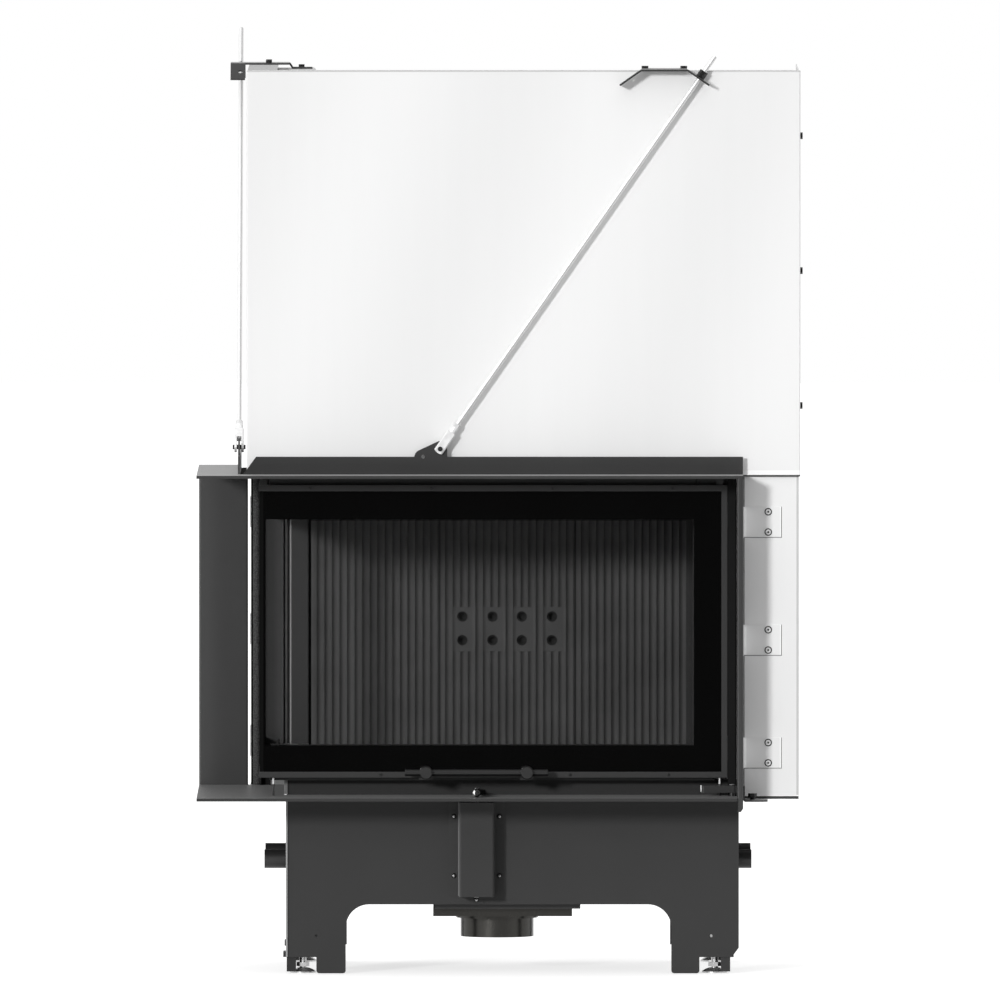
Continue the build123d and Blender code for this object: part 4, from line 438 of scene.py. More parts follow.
FINISHES = {
    "black_frame": frame_paint("frame_paint", 0.30),
    "black_base": base_paint("base_paint"),
    "galvanised": galvanised_sheet("galvanised_sheet"),
    "lift_steel": bright_zinc("lift_steel", 0.5, 0.38, 0.8),
    "zinc": bright_zinc("bright_zinc", 0.84, 0.32, 0.3),
    "black_fastener": grained(  # black oxide, a little worn on the high spots
        "blackened_screws", (420, 4.0), (0.018, 0.07), (0.34, 0.5), 0.7, (0.1, 0.0002),
        (0.5, 0.8)),
    "pulley": grained(  # moulded, with faint flow marks
        "moulded_pulley", (40, 3.0), (0.03, 0.055), (0.34, 0.46), 0.0, (0.05, 0.0005)),
    "counterweight": grained(  # rough cast iron
        "cast_iron", (260, 6.0), ((0.045, 0.043, 0.04), (0.10, 0.095, 0.09)), (0.6, 0.8),
        0.55, (0.5, 0.0012), (0.3, 0.7)),
    "cable": wire_rope(),
    "glass": printed_glass(),
    "door_frame": stove_paint("door_paint", 0.012, 0.44),
    "handle": stove_paint("handle_paint", 0.010, 0.34),
    "seal": seal_rope(),
    "glide": grained(  # cast iron, with the lines of the grinding wheel along it
        "ground_iron", (900, 2.0, (1, 1, 0.05)), (0.035, 0.08), (0.35, 0.5), 0.6,
        (0.15, 0.0003)),
    "firebox": stove_paint("firebox_paint", 0.018, 0.55),
    "flue": stove_paint("flue_paint", 0.025, 0.5),
    "lining": mineral_lining("mineral_lining", 0.1),
    "air_steel": stove_paint("air_paint", 0.018, 0.40),
    "lever": bright_zinc("lever_steel", 0.16, 0.25, 1.0),
    "foot": bright_zinc("foot_zinc", 0.66, 0.26, 0.9),
}

BOARD_JOINTS = (-103.0, 129.0)  # their X
# places in the front view: left, right, low, high; a mark's shade comes after them
LINING_SHADOW_STRIPS = [  # painted shadow along the lining's top and its right end
    (FAR_LEFT, FAR_RIGHT, 760, 800), (319, 400, 300, 800)]
# painted light on the lower panels: shade down the rounded right edge and beside the frame, a
# highlight along the foot, and the brackets' shadows
LOWER_PANEL_MARKS = [
    ((504.6, RIGHT_EDGE, *PANEL), 0.55),
    ((FRAME_RIGHT, 416.5, *PANEL), 0.35),
    ((FRAME_RIGHT, RIGHT_EDGE, FLANGE_TOP, 307.4), 0.98),
    *bracket_rim_shadows()]
# painted light on the front panel: shade on the top fold, a highlight above the seam with the
# lower panel, and shadow in that seam
FRONT_PANEL_MARKS = [
    ((FAR_LEFT, FAR_RIGHT, 1538.2, 1545), 0.6),
    ((FRAME_RIGHT, RIGHT_EDGE, 853.2, 860.5), 0.96),
    ((FRAME_RIGHT, RIGHT_EDGE, 840, 852.6), 0.06)]
# painted highlights down the brackets' right edges and their left folds
BRACKET_MARKS = [
    ((BRACKET_RIGHT - 2.2, BRACKET_RIGHT + 1, *PANEL), 0.98),
    ((FRAME_RIGHT, FRAME_RIGHT + 6, *PANEL), 0.95)]
# painted shade on the left panel's top flange
LEFT_PANEL_MARKS = [((-435, -350, 1540.0, 1545), 0.44)]
COVER_FOLD_HIGHLIGHT = (-71.4, -68.6, 120, 330)  # painted highlight on the air cover's left fold

# painted light: the post's paint is lighter than the firebox paint, for the light through the side
# pane
POST_TONE = 0.046
POST_DARK = 0.14  # painted shade: share of that tone beside the pane
POST_FOLDS = (  # painted highlights on the post's folds and its lighter flat: left, right, shade
    (-367.6, -365.4, 0.85), (-365.4, -363.6, 0.09), (-361.9, -360.3, 0.13),
    (-360.3, -358.5, 0.95), (-358.5, -356.9, 0.30), (-356.2, -330, 0.073))


def post_painted_shade(paint):
    """Painted shade: the post's slanting face is darker towards the pane."""
    return paint.spread(paint.axis("X"), -389 * MM, -372 * MM, 1.0, 0.0)


def base_painted_shadow(paint):
    """Painted shadow: the base's front is dimmer under the frame."""
    return paint.spread(paint.axis("Z"), 205 * MM, 275 * MM, 0.0, 1.0, "SMOOTHSTEP")


def jamb_painted_light(paint):
    """Painted light: the left jamb is lighter towards its front edge, where it catches more light.
    """
    return paint.spread(paint.axis("X"), LEFT * MM, (LEFT + 50) * MM, 1.0, 0.0, "SMOOTHERSTEP")


def in_window(*rectangle):
    return lambda paint: paint.window(*rectangle)


def leg_return_shade(paint):
    """Painted shade on the foot of the left leg's inner return, behind the base's front."""
    return paint.window(-366, -348.5, -5, 27) * (paint.axis("Y") < (FRONT + 160) * MM)


# painted shade: the flange's front face darker than its top
def flange_face_shade(paint):
    return paint.axis("Y") < (FRONT + 0.5) * MM


def flange_lip_highlight(paint):
    """Painted highlight on the front of the flange's top, where the light skims it."""
    return (paint.axis("Z") > (FLANGE_TOP - 0.2) * MM) * (paint.axis("Y") < (FRONT + 75) * MM)


def pin_crown(paint):
    return paint.axis("Z") > 325.0 * MM


fluted_board = mineral_lining("fluted_board", 0.132, BOARD_JOINTS, LINING_SHADOW_STRIPS, PORTS)
bracket_sheet = galvanised_sheet("bracket_sheet", BRACKET_MARKS)
post_paint = stove_paint("post_paint", POST_TONE, 0.5, marks=[
    (post_painted_shade, POST_TONE * POST_DARK),
    *((in_window(left, right, *PANEL), shade) for left, right, shade in POST_FOLDS)])
# painted shadow: near-black, for the strip in the jamb's shadow
shadow_black = stove_paint("shadow_black", 0.001, 0.93, shine=0.05)
# painted highlight: far paler than the base paint
edge_highlight_paint = stove_paint("edge_highlight_paint", 0.32, 0.5)
pin_paint = stove_paint("pin_paint", 0.008, 0.4, marks=[(pin_crown, 0.75)])
OWN_FINISHES = {
    "tie_rods": drawn_rod(),
    "tie_rod_hardware": fork_fittings(),
    "tie_rod_forks": bright_zinc("fork_zinc", 0.96, 0.4, 0.1),
    "air_spigot": grained(  # bare dark steel with a soft shine
        "turned_steel", (300, 3.0, (1, 1, 0.2)),
        ((0.040, 0.039, 0.036), (0.056, 0.054, 0.050)), (0.22, 0.28), 0.85, (0.04, 0.0003)),
    "air_knob": plated_knob(),
    "air_cover": base_paint("cover_paint", [(in_window(*COVER_FOLD_HIGHLIGHT), 0.14)]),
    "base_front_panel": base_paint("base_front_paint", [(base_painted_shadow, 0.0106)]),
    "base_body": base_paint("base_body_paint", [(leg_return_shade, 0.005)]),
    "casing_left_panel": galvanised_sheet("left_panel_sheet", LEFT_PANEL_MARKS),
    "casing_front_panel": galvanised_sheet("front_panel_sheet", FRONT_PANEL_MARKS),
    "casing_lower_panels": galvanised_sheet("lower_panel_sheet", LOWER_PANEL_MARKS),
    "frame_bottom_flange": frame_paint(
        "lower_flange_paint", 0.1, [(flange_lip_highlight, 0.036), (flange_face_shade, 0.010)]),
    # painted shade: the guide rails far darker and duller than the frame paint, for the shade of
    # the deep gap they stand in
    "guide_rails": stove_paint("rail_paint", 0.004, 0.6, shine=0.12),
    "frame_rear_jamb": frame_paint("rear_jamb_paint", 0.1, [(jamb_painted_light, 0.036)]),
}


def dress_nodes():
    """Every solid gets its own finish, or else the finish of its slot in the record."""
    for name, solid in nodes.items():
        slot = solid.data.materials[0].name
        solid.data.materials.clear()
        solid.data.materials.append(OWN_FINISHES.get(name, FINISHES[slot]))


# --- places on the object, in millimetres ---

UP = Vector((0, 0, 1))
TO_FRONT = (0, -1, 0)
TO_LEFT = (-1, 0, 0)
LEG_SHIFT = 126.0  # how far the left leg's copies lie behind the front leg's


def point(x, y, z):
    return Vector((x, y, z)) * MM


def front_place(x, setback, z):
    return point(x, FRONT + setback, z)


def side_place(x, setback, z, shift=LEG_SHIFT):
    """The place on the left leg that answers to one on the front leg."""
    return point(LEFT + setback, FRONT + x + shift, z)


# --- bench: shaping pieces in edit mode ----

NEAR = 1e-5  # metres: near enough to be the same place
SMOOTH_UNDER = math.radians(38)


def clear_bench():
    """Back to object mode, with nothing selected."""
    if bpy.context.object and bpy.context.object.mode != "OBJECT":
        bpy.ops.object.mode_set(mode="OBJECT")
    bpy.ops.object.select_all(action="DESELECT")


def take(piece):
    """Leaves the piece alone on the bench, selected and active."""
    clear_bench()
    piece.select_set(True)
    bpy.context.view_layer.objects.active = piece


def modify(piece, kind, **settings):
    """Runs a modifier on a piece and keeps what it makes."""
    change = piece.modifiers.new(kind.lower(), kind)
    for name, value in settings.items():
        setattr(change, name, value)
    take(piece)
    bpy.ops.object.modifier_apply(modifier=change.name)


class Piece:
    """The piece on the bench. It starts as a primitive, and edit mode shapes it."""

    def __init__(self, name, start, **size):
        clear_bench()
        start(**size)
        self.made = bpy.context.object
        self.made.name = name
        bpy.ops.object.transform_apply(location=True, rotation=True, scale=True)

    def pick(self, wanted, kind="FACE"):
        """Selects the faces, edges or corners whose place (and way) pass the test."""
        mesh = self.made.data
        bpy.ops.object.mode_set(mode="EDIT")
        bpy.ops.mesh.select_mode(type=kind)
        bpy.ops.mesh.select_all(action="DESELECT")
        bpy.ops.object.mode_set(mode="OBJECT")
        if kind == "FACE":
            for face in mesh.polygons:
                face.select = bool(wanted(face.center, face.normal))
        elif kind == "VERT":
            for corner in mesh.vertices:
                corner.select = bool(wanted(corner.co))
        else:
            for edge in mesh.edges:
                ends = [mesh.vertices[i].co for i in edge.vertices]
                edge.select = bool(wanted((ends[0] + ends[1]) / 2, ends[1] - ends[0]))
        bpy.ops.object.mode_set(mode="EDIT")
        return self

    def pick_rim(self, height):
        """Selects the level edges above a height in metres."""
        return self.pick(lambda mid, run: mid.z > height and abs(run.z) < 1e-6, "EDGE")

    def inset(self, width):
        bpy.ops.mesh.inset(thickness=width * MM, depth=0.0)
        return self

    def extrude(self, x=0.0, y=0.0, z=0.0):
        bpy.ops.mesh.extrude_region_move(TRANSFORM_OT_translate={"value": point(x, y, z)})
        return self

    def bevel(self, width, steps=2):
        bpy.ops.mesh.bevel(offset=width * MM, segments=steps, affect="EDGES")
        return self

    def resize(self, x, y, z, centre):
        bpy.ops.transform.resize(value=(x, y, z), center_override=centre)
        return self

    def shift(self, x=0.0, y=0.0, z=0.0):
        bpy.ops.transform.translate(value=point(x, y, z))
        return self

    def turn(self, angle, axis, centre):
        bpy.ops.transform.rotate(value=angle, orient_axis=axis, center_override=centre)
        return self

    def done(self, outward=False):
        if outward:
            bpy.ops.object.mode_set(mode="EDIT")
            bpy.ops.mesh.select_all(action="SELECT")
            bpy.ops.mesh.remove_doubles(threshold=NEAR)
            bpy.ops.mesh.normals_make_consistent(inside=False)
        clear_bench()
        return self.made


def box_piece(name, middle, size):
    return Piece(name, bpy.ops.mesh.primitive_cube_add, size=1.0, location=middle, scale=size)


def round_piece(name, corners, radius, length, middle):
    """An upright cylinder, or a prism when its corners are few."""
    return Piece(name, bpy.ops.mesh.primitive_cylinder_add, vertices=corners,
                 radius=radius * MM, depth=length * MM, location=middle)


def disc_piece(name, corners, radius, middle, fill="NGON"):
    return Piece(name, bpy.ops.mesh.primitive_circle_add, vertices=corners,
                 radius=radius * MM, fill_type=fill, location=middle)


def anywhere(*place):
    return True


def upright(mid, run):
    return abs(run.z) > 1e-4


def crosswise(mid, run):
    return abs(run.x) > 1e-4


def own_copy(source, name):
    """A copy with a mesh of its own."""
    twin = source.copy()
    twin.data = source.data.copy()
    twin.name = name
    bpy.context.collection.objects.link(twin)
    return twin


def moved_copy(source, name, way, place):
    """A copy that stands up along a way, at a place."""
    twin = own_copy(source, name)
    turn = UP.rotation_difference(Vector(way)).to_matrix().to_4x4()
    twin.data.transform(Matrix.Translation(place) @ turn)
    return twin


def move_to_side(piece, place, mirrored=False):
    """Moves a piece of the front leg to the answering place on the left leg."""
    turn = Matrix.Rotation(-math.pi / 2, 4, "Z")
    if mirrored:
        turn = Matrix.Scale(-1, 4, (0, 1, 0)) @ turn
    piece.data.transform(Matrix.Translation(side_place(*place)) @ turn
                         @ Matrix.Translation(-front_place(*place)))
    if mirrored:
        piece.data.flip_normals()


def as_one(name, pieces):
    """Pieces of one kind, joined under one name."""
    clear_bench()
    for piece in pieces:
        piece.select_set(True)
    bpy.context.view_layer.objects.active = pieces[0]
    bpy.ops.object.join()
    pieces[0].name = name
    return pieces[0]


def fit(piece, slot, body, *stands_for, finish=None):
    """Gives a piece its own finish or else its slot's, its body, and hides the solids that it
    stands for.
    """
    take(piece)
    bpy.ops.object.shade_smooth_by_angle(angle=SMOOTH_UNDER)
    piece.data.materials.clear()
    piece.data.materials.append(finish or FINISHES[slot])
    if body:
        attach(piece, body)
    if stands_for:
        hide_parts(*stands_for)
    clear_bench()


def scrap(*pieces):
    """Takes pattern pieces off the bench once their copies are made."""
    for piece in pieces:
        bpy.data.objects.remove(piece, do_unlink=True)


# --- screws and pins -----------------------

SCREW_GAP = 34.6  # between the two screws of a bracket
SCREW_LINE = 456.5  # their X
SCREW_SEAT = 87.5  # the setback of the face that they sit on
SIDE_SINK = 3.5  # the side screws are sunk into their plates
COVER_SCREWS = ((-78.6, 268.0), (-78.6, 166.6), (-0.8, 268.0), (-0.8, 166.6), (-40.0, 125.5))
RAIL_SETBACK = 105.0
RAIL_SCREWS = ((-323.0, 829.0), (-116.0, 829.0), (90.0, 829.0), (293.5, 829.0),
               (-203.0, 341.0), (-41.0, 341.0), (119.5, 341.0), (287.0, 341.0))
REST_PINS = (-386.0, 374.0)  # their X


def socket_screw(name, radius, height, socket):
    """A domed screw head with a star-shaped socket, standing on its seat."""
    top = height * MM
    dome = height * 0.55
    depth = height * 0.45
    head = round_piece(name, 24, radius, height, (0, 0, top / 2))
    head.pick_rim(top - NEAR).bevel(dome, 4)
    head.pick(lambda mid, way: way.z > 0.99 and mid.z > top - NEAR)
    head.inset(radius - dome - socket)
    head.extrude(z=-depth)
    head.resize(0.9, 0.9, 1, (0, 0, 0))
    floor = top - depth * MM

    def lobe(corner):
        sector = round(math.degrees(math.atan2(corner.y, corner.x)) / 15) % 4
        inner = math.hypot(corner.x, corner.y) < (socket + 0.05) * MM
        return sector in (1, 2) and inner and corner.z > floor - NEAR

    head.pick(lobe, "VERT").resize(0.74, 0.74, 1, (0, 0, 0))
    return head.done()


def painted_shadow_seat(name, outer, socket, floor):
    """Painted shadow: a dark ring under a screw's head, and a dark floor in its socket."""
    shadow_ring = round_piece(name, 24, outer, 0.9, (0, 0, 0.45 * MM))
    shadow_ring.pick_rim(0.8 * MM).bevel(0.35)
    socket_shade = round_piece(name + "_plug", 6, socket, 0.5, (0, 0, floor * MM))
    socket_shade.pick_rim(floor * MM).bevel(0.12)
    return as_one(name, [shadow_ring.done(), socket_shade.done()])


def seated(pattern, shadow_seat, spots):
    """Copies of a screw and of its painted shadow ring at every spot: way, place."""
    heads = [moved_copy(pattern, "head", way, place) for way, place in spots]
    shadow_seats = [moved_copy(shadow_seat, "shadow_seat", way, place) for way, place in spots]
    scrap(pattern, shadow_seat)
    return heads, shadow_seats


def bracket_screws():
    """The screws of the jamb brackets, and the pins of the lock lever and the shut door."""
    spots = []
    for height in SCREW_HEIGHTS:
        for step in (-0.5, 0.5):
            z = height + step * SCREW_GAP
            spots.append((TO_FRONT, front_place(SCREW_LINE, SCREW_SEAT, z)))
            spots.append((TO_LEFT, side_place(SCREW_LINE, SCREW_SEAT + SIDE_SINK, z)))
    heads, shadow_seats = seated(socket_screw("screw_pattern", 4.7, 3.2, 2.1),
                          painted_shadow_seat("screw_shadow_seat", 6.4, 1.8, 2.4), spots)
    fit(as_one("bracket_screws", heads), "zinc", "insert", "jamb_bracket_screws")
    # painted shadow: the dark rings and socket floors of the bracket screws
    fit(as_one("bracket_screw_shadows", shadow_seats), "black_fastener", "insert")
    pins = [rest_pin(x) for x in REST_PINS] + [lock_pin()]
    fit(as_one("rest_pins", pins), "zinc", "insert", finish=pin_paint)


def rest_pin(x):
    """A short pin with a rounded top, on which the shut door stands."""
    low, high = FLANGE_TOP, 335.7
    pin = round_piece("rest_pin", 20, 1.7, high - low, front_place(x, 112.0, (low + high) / 2))
    pin.pick_rim(high * MM - NEAR).bevel(0.8, 3)
    return pin.done()


def lock_pin():
    """The shouldered pin of the lock lever, with its flat head."""
    x, setback = 395.0, 95.0
    foot, wide, narrow = 5.7, 5.0, 3.0  # the foot's height, then the two radii
    head = 323.3  # the head's underside
    pin = round_piece("lock_pin", 24, wide, foot, front_place(x, setback, FLANGE_TOP + foot / 2))
    pin.pick(lambda mid, way: way.z > 0.99).inset(wide - narrow)
    pin.extrude(z=head - FLANGE_TOP - foot).inset(0.01)
    pin.extrude(z=0.01).resize(wide / narrow, wide / narrow, 1, front_place(x, setback, 0))
    pin.extrude(z=1.9)
    pin.pick_rim((head + 1.8) * MM).bevel(0.7, 3)
    return pin.done()


def rail_screws():
    """The small dark screws that clamp the glass in the door's rails."""
    pattern = socket_screw("rail_screw_pattern", 2.6, 1.2, 1.1)
    pieces = [moved_copy(pattern, "rail_screw", TO_FRONT, front_place(x, RAIL_SETBACK, z))
              for x, z in RAIL_SCREWS]
    scrap(pattern)
    fit(as_one("rail_screws", pieces), "black_fastener", "door")


def cover_screws():
    """Star-socket caps on the screws of the air cover."""
    spots = [(TO_FRONT, front_place(x, BASE_SETBACK, z)) for x, z in COVER_SCREWS]
    heads, shadow_seats = seated(socket_screw("cover_screw_pattern", 2.9, 3.7, 1.5),
                          painted_shadow_seat("cover_screw_shadow_seat", 4.6, 1.4, 2.7), spots)
    fit(as_one("cover_screws", heads), "black_fastener", "insert", finish=FINISHES["lift_steel"])
    # painted shadow: the dark rings and socket floors of the cover screws
    fit(as_one("cover_screw_shadows", shadow_seats), "black_fastener", "insert")


def lock_tip():
    """The bright end of the lock lever, a thin zinc piece."""
    x = 342.2
    tip = box_piece("lock_tip", front_place(x, 95.0, 318.2), point(1.7, 10.3, 11.0))
    tip.pick(lambda mid, run: mid.x < x * MM, "EDGE").bevel(0.6, 3)
    fit(tip.done(), "zinc", "lock_lever")


# --- threads -------------------------------

ROD_SHIFT = 264.0  # the same as LEG_SHIFT, for the side rod
ROD_TIPS = (40.0, 82.0)  # how far each rod runs on past its head's pin
THREAD_STEPS = 12
FEET = {  # X and setback of each foot
    "front_left_foot": (-336.0, 182.0), "front_right_foot": (366.0, 182.0),
    "rear_left_foot": (-336.0, 572.0), "rear_right_foot": (366.0, 572.0)}


def thread(name, radius, low, high, pitch):
    """A screw thread as a sleeve: a zigzag profile wound up round the Z axis."""
    depth = pitch * 0.5
    wound = Piece(name, bpy.ops.mesh.primitive_plane_add, size=1.0)
    wound.pick(anywhere, "VERT")
    bpy.ops.mesh.merge(type="CENTER")
    wound.shift(radius - depth, 0, low)
    for out, up in ((depth, pitch * 0.4), (0, pitch * 0.15), (-depth, pitch * 0.45)):
        wound.extrude(x=out, z=up)
    modify(wound.done(), "SCREW", angle=math.tau, steps=THREAD_STEPS, render_steps=THREAD_STEPS,
           screw_offset=pitch * MM, iterations=max(1, int((high - low - pitch) / pitch)),
           use_merge_vertices=True, merge_threshold=0.00002)
    return wound.done(outward=True)


def rod_threads():
    """The rolled thread at the free ends of both tie rods."""
    run = ROD_LINE.length
    side_way = Vector((0, ROD_LINE.x, ROD_LINE.z))
    pieces = []
    for place, way, tip in ((front_place(*ROD_FOOT), ROD_LINE, ROD_TIPS[0]),
                            (side_place(*ROD_FOOT, shift=ROD_SHIFT), side_way, ROD_TIPS[1])):
        sleeve = thread("rod_thread", 4.12, run - 26, run + tip - 2, 1.25)
        pieces.append(moved_copy(sleeve, "rod_thread_end", way.normalized(), place))
        scrap(sleeve)
    fit(as_one("rod_threads", pieces), "zinc", "insert", finish=OWN_FINISHES["tie_rods"])


def foot_threads():
    """The thread on each levelling foot's screw."""
    sleeve = thread("foot_thread", 6.12, 18.5, 71.5, 1.75)
    for body, (x, setback) in FEET.items():
        fit(moved_copy(sleeve, body + "_thread", UP, front_place(x, setback, 0)), "foot", body)
    scrap(sleeve)


# --- ropes and cables ----------------------

CABLE_TOP = 1470.0
CABLE_DOOR_END = 870.5
CABLE_WEIGHT_END = 1404.0
CABLE_BEND = 43.0  # radius over the pulley
CABLE_RADIUS = 2.0
CABLE_CORNERS = 12
CABLE_LAY = 5.0
CABLE_RUNS = {  # X and Y of the door's run, and the way from there to the weight
    "right": (374.0, -216.2, (1, 0, 0)),
    "left": (-404.0, 171.8, (0, 1, 0))}


def jamb_rope():
    """The braided rope that fills the gap beside the rear jamb."""
    x, setback = -417.5, 533.4
    low, high, step = 305.4, 848.6, 7.76
    swell = 1.045
    rope = disc_piece("jamb_rope", 16, 6.4, front_place(x, setback, low))
    rope.pick(anywhere)
    for turn in range(int((high - low) / step)):
        size = swell if turn % 2 else 1 / swell
        centre = front_place(x, setback, low + step * (turn + 1))
        rope.extrude(z=step).resize(size, size, 1, centre).turn(0.14, "Z", centre)
    fit(rope.done(outward=True), "seal", "insert")


def door_seal():
    """The rope round the door's back: the solid's form, with its edges rounded over."""
    rope = own_copy(nodes["door_seal"], "door_rope")
    rope.parent = None
    take(rope)
    bpy.ops.object.mode_set(mode="EDIT")
    bpy.ops.mesh.select_all(action="SELECT")
    bpy.ops.mesh.remove_doubles(threshold=NEAR)
    bpy.ops.mesh.dissolve_limited(angle_limit=math.radians(2))
    clear_bench()
    modify(rope, "BEVEL", width=1.6 * MM, segments=3, limit_method="ANGLE")
    fit(rope, "seal", "door", "door_seal")


def strand_run(name, x, y, low, high):
    """A straight stretch of six-strand cable between two heights."""
    steps = max(2, round((high - low) / CABLE_LAY))
    rise = (high - low) / steps
    spin = math.tau / CABLE_CORNERS
    here = point(x, y, low)
    cable = disc_piece(name, CABLE_CORNERS, CABLE_RADIUS, here)

    def groove(corner):
        way = math.atan2(corner.y - here.y, corner.x - here.x)
        return round(way / spin) % 2 == 1

    cable.pick(groove, "VERT").resize(0.82, 0.82, 1, here)
    cable.pick(anywhere)
    for step in range(steps):
        cable.extrude(z=rise).turn(spin, "Z", point(x, y, low + rise * (step + 1)))
    return cable.done(outward=True)


def cable_bend(name, x, y, across):
    """The half turn of cable over the pulley. across is the way from door to weight."""
    start = point(x, y, CABLE_TOP)
    bend = disc_piece(name, CABLE_CORNERS, CABLE_RADIUS, start, "NOTHING")
    bend.pick(anywhere, "VERT")
    bpy.ops.mesh.spin(steps=20, angle=-math.pi, center=start + Vector(across) * CABLE_BEND * MM,
                      axis=Vector(across).cross(UP))
    return bend.done(outward=True)


def hung_run(name, x, y, end):
    """A straight run of cable that hangs from the casing down to its end height, on no body."""
    run = strand_run(name, x, y, end, CABLE_TOP)
    fit(run, "cable", None)
    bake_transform(run)


def lift_cables():
    """Both lift cables: door run, half turn over the pulley, and weight run."""
    for side, (x, y, across) in CABLE_RUNS.items():
        far = Vector((x, y, 0)) + Vector(across) * 2 * CABLE_BEND
        hung_run(side + "_cable_door_run", x, y, CABLE_DOOR_END)
        hung_run(side + "_cable_weight_run", far.x, far.y, CABLE_WEIGHT_END)
        bend = cable_bend(side + "_cable_bend", x, y, across)
        fit(bend, "cable", "insert", side + "_lift_cable")


# --- back lining and its post --------------

FLUTE = 12.93  # from ridge to ridge of the back lining
FLUTE_DEPTH = 4.4
FLUTE_STEPS = 8
FLUTES = range(-3, 46)
RIDGE_ZERO = -275.0  # X of the ridge that the others are counted from
SLAB_BACK = 181.8
SLAB_LEFT = -323.5
SLAB_RIGHT = 360.0
SLAB_LOW = 377.0
SLAB_HIGH = 772.0
PAD_LOW = 536.0
PAD_HIGH = 612.4
PAD_FLUTES = (15, 19, 23, 27)  # the first of the three flutes that each pad breaks
PORT_ROWS = (555.2, 595.8)
PORT_CUTS = (  # front and rear radius, then both depths behind the pad's face
    (9.2, 8.2, -1.0, 3.5), (6.2, 6.0, 3.0, 14.0))
POST_CORNERS = (
    (-402.5, 158.0), (-371.5, 146.0), (-370.4, 160.5), (-363.4, 159.0), (-361.6, 168.0),
    (-358.6, 152.0), (-328.8, 152.0), (-328.8, 181.0))
POST_SHEET = 1.6
POST_TOP = 811.0  # below the lifted door's lower rail


def slab_block(name, x0, x1, low, high):
    """A block of lining board between two heights, its front still flat."""
    middle = point((x0 + x1) / 2, (RIDGE_Y + SLAB_BACK) / 2, (low + high) / 2)
    return box_piece(name, middle, point(x1 - x0, SLAB_BACK - RIDGE_Y, high - low))


def in_front(place):
    return place.y < RIDGE_Y * MM + NEAR


def open_sides(block):
    """Takes away the walls between neighbouring flutes."""
    block.pick(lambda mid, way: abs(way.x) > 0.99)
    bpy.ops.mesh.delete(type="FACE")
    return block.done()


def front_cuts(block, cuts):
    """Upright cuts across the block's front face."""
    block.pick(lambda mid, run: in_front(mid) and crosswise(mid, run), "EDGE")
    bpy.ops.mesh.subdivide(number_cuts=cuts)
    return block


def flute(low, high):
    """One hollow flute, with half of each neighbouring ridge."""
    block = front_cuts(slab_block("flute", 0.0, FLUTE, low, high), FLUTE_STEPS - 1)
    for step in range(1, FLUTE_STEPS):
        share = step / FLUTE_STEPS
        x = FLUTE * share * MM
        block.pick(lambda at: abs(at.x - x) < NEAR and in_front(at), "VERT")
        block.shift(y=FLUTE_DEPTH * (1 - (2 * share - 1) ** 2))
    return open_sides(block)


def port_cutter(x, z, wide, narrow, near, deep):
    """A round cutter that narrows towards the back, for one step of an air port."""
    clear_bench()
    bpy.ops.mesh.primitive_cone_add(
        vertices=28, radius1=narrow * MM, radius2=wide * MM, depth=(deep - near) * MM,
        location=point(x, (near + deep) / 2, z), rotation=(math.pi / 2, 0, 0))
    return bpy.context.object


def port_pad(first, port_x):
    """The flat pad that breaks three flutes, with its two stepped air ports."""
    x0 = RIDGE_ZERO + FLUTE * first
    x1 = x0 + 3 * FLUTE
    block = front_cuts(slab_block("port_pad", x0, x1, PAD_LOW, PAD_HIGH), 11)
    block.pick(lambda at: x0 * MM + NEAR < at.x < x1 * MM - NEAR and in_front(at), "VERT")
    block.shift(y=PAD_STEP)
    pad = block.done()
    face = RIDGE_Y + PAD_STEP
    for z in PORT_ROWS:
        for wide, narrow, near, deep in PORT_CUTS:
            cutter = port_cutter(port_x, z, wide, narrow, face + near, face + deep)
            modify(pad, "BOOLEAN", operation="DIFFERENCE", object=cutter)
            scrap(cutter)
    return open_sides(block)


def fluted_lining():
    """The back lining as it is cast: hollow flutes with sharp ridges, and the air ports' pads."""
    full = flute(SLAB_LOW, SLAB_HIGH)
    below = flute(SLAB_LOW, PAD_LOW)
    above = flute(PAD_HIGH, SLAB_HIGH)
    broken = {first + i for first in PAD_FLUTES for i in range(3)}
    pieces = []
    for index in FLUTES:
        place = point(RIDGE_ZERO + FLUTE * index, 0, 0)
        for pattern in ((below, above) if index in broken else (full,)):
            pieces.append(moved_copy(pattern, "flute_run", UP, place))
    scrap(full, below, above)
    pieces += [port_pad(first, x) for first, x in zip(PAD_FLUTES, PORTS)]
    for x0, x1 in ((SLAB_LEFT, RIDGE_ZERO + FLUTE * FLUTES[0]),
                   (RIDGE_ZERO + FLUTE * (FLUTES[-1] + 1), SLAB_RIGHT)):
        end = slab_block("lining_end", x0, x1, SLAB_LOW, SLAB_HIGH)
        end.pick(lambda mid, run: in_front(mid) and upright(mid, run), "EDGE")
        pieces.append(end.bevel(0.5).done())
    fit(as_one("fluted_lining", pieces), "lining", "insert",
        "lining_back_left", "lining_back_centre", "lining_back_right", finish=fluted_board)


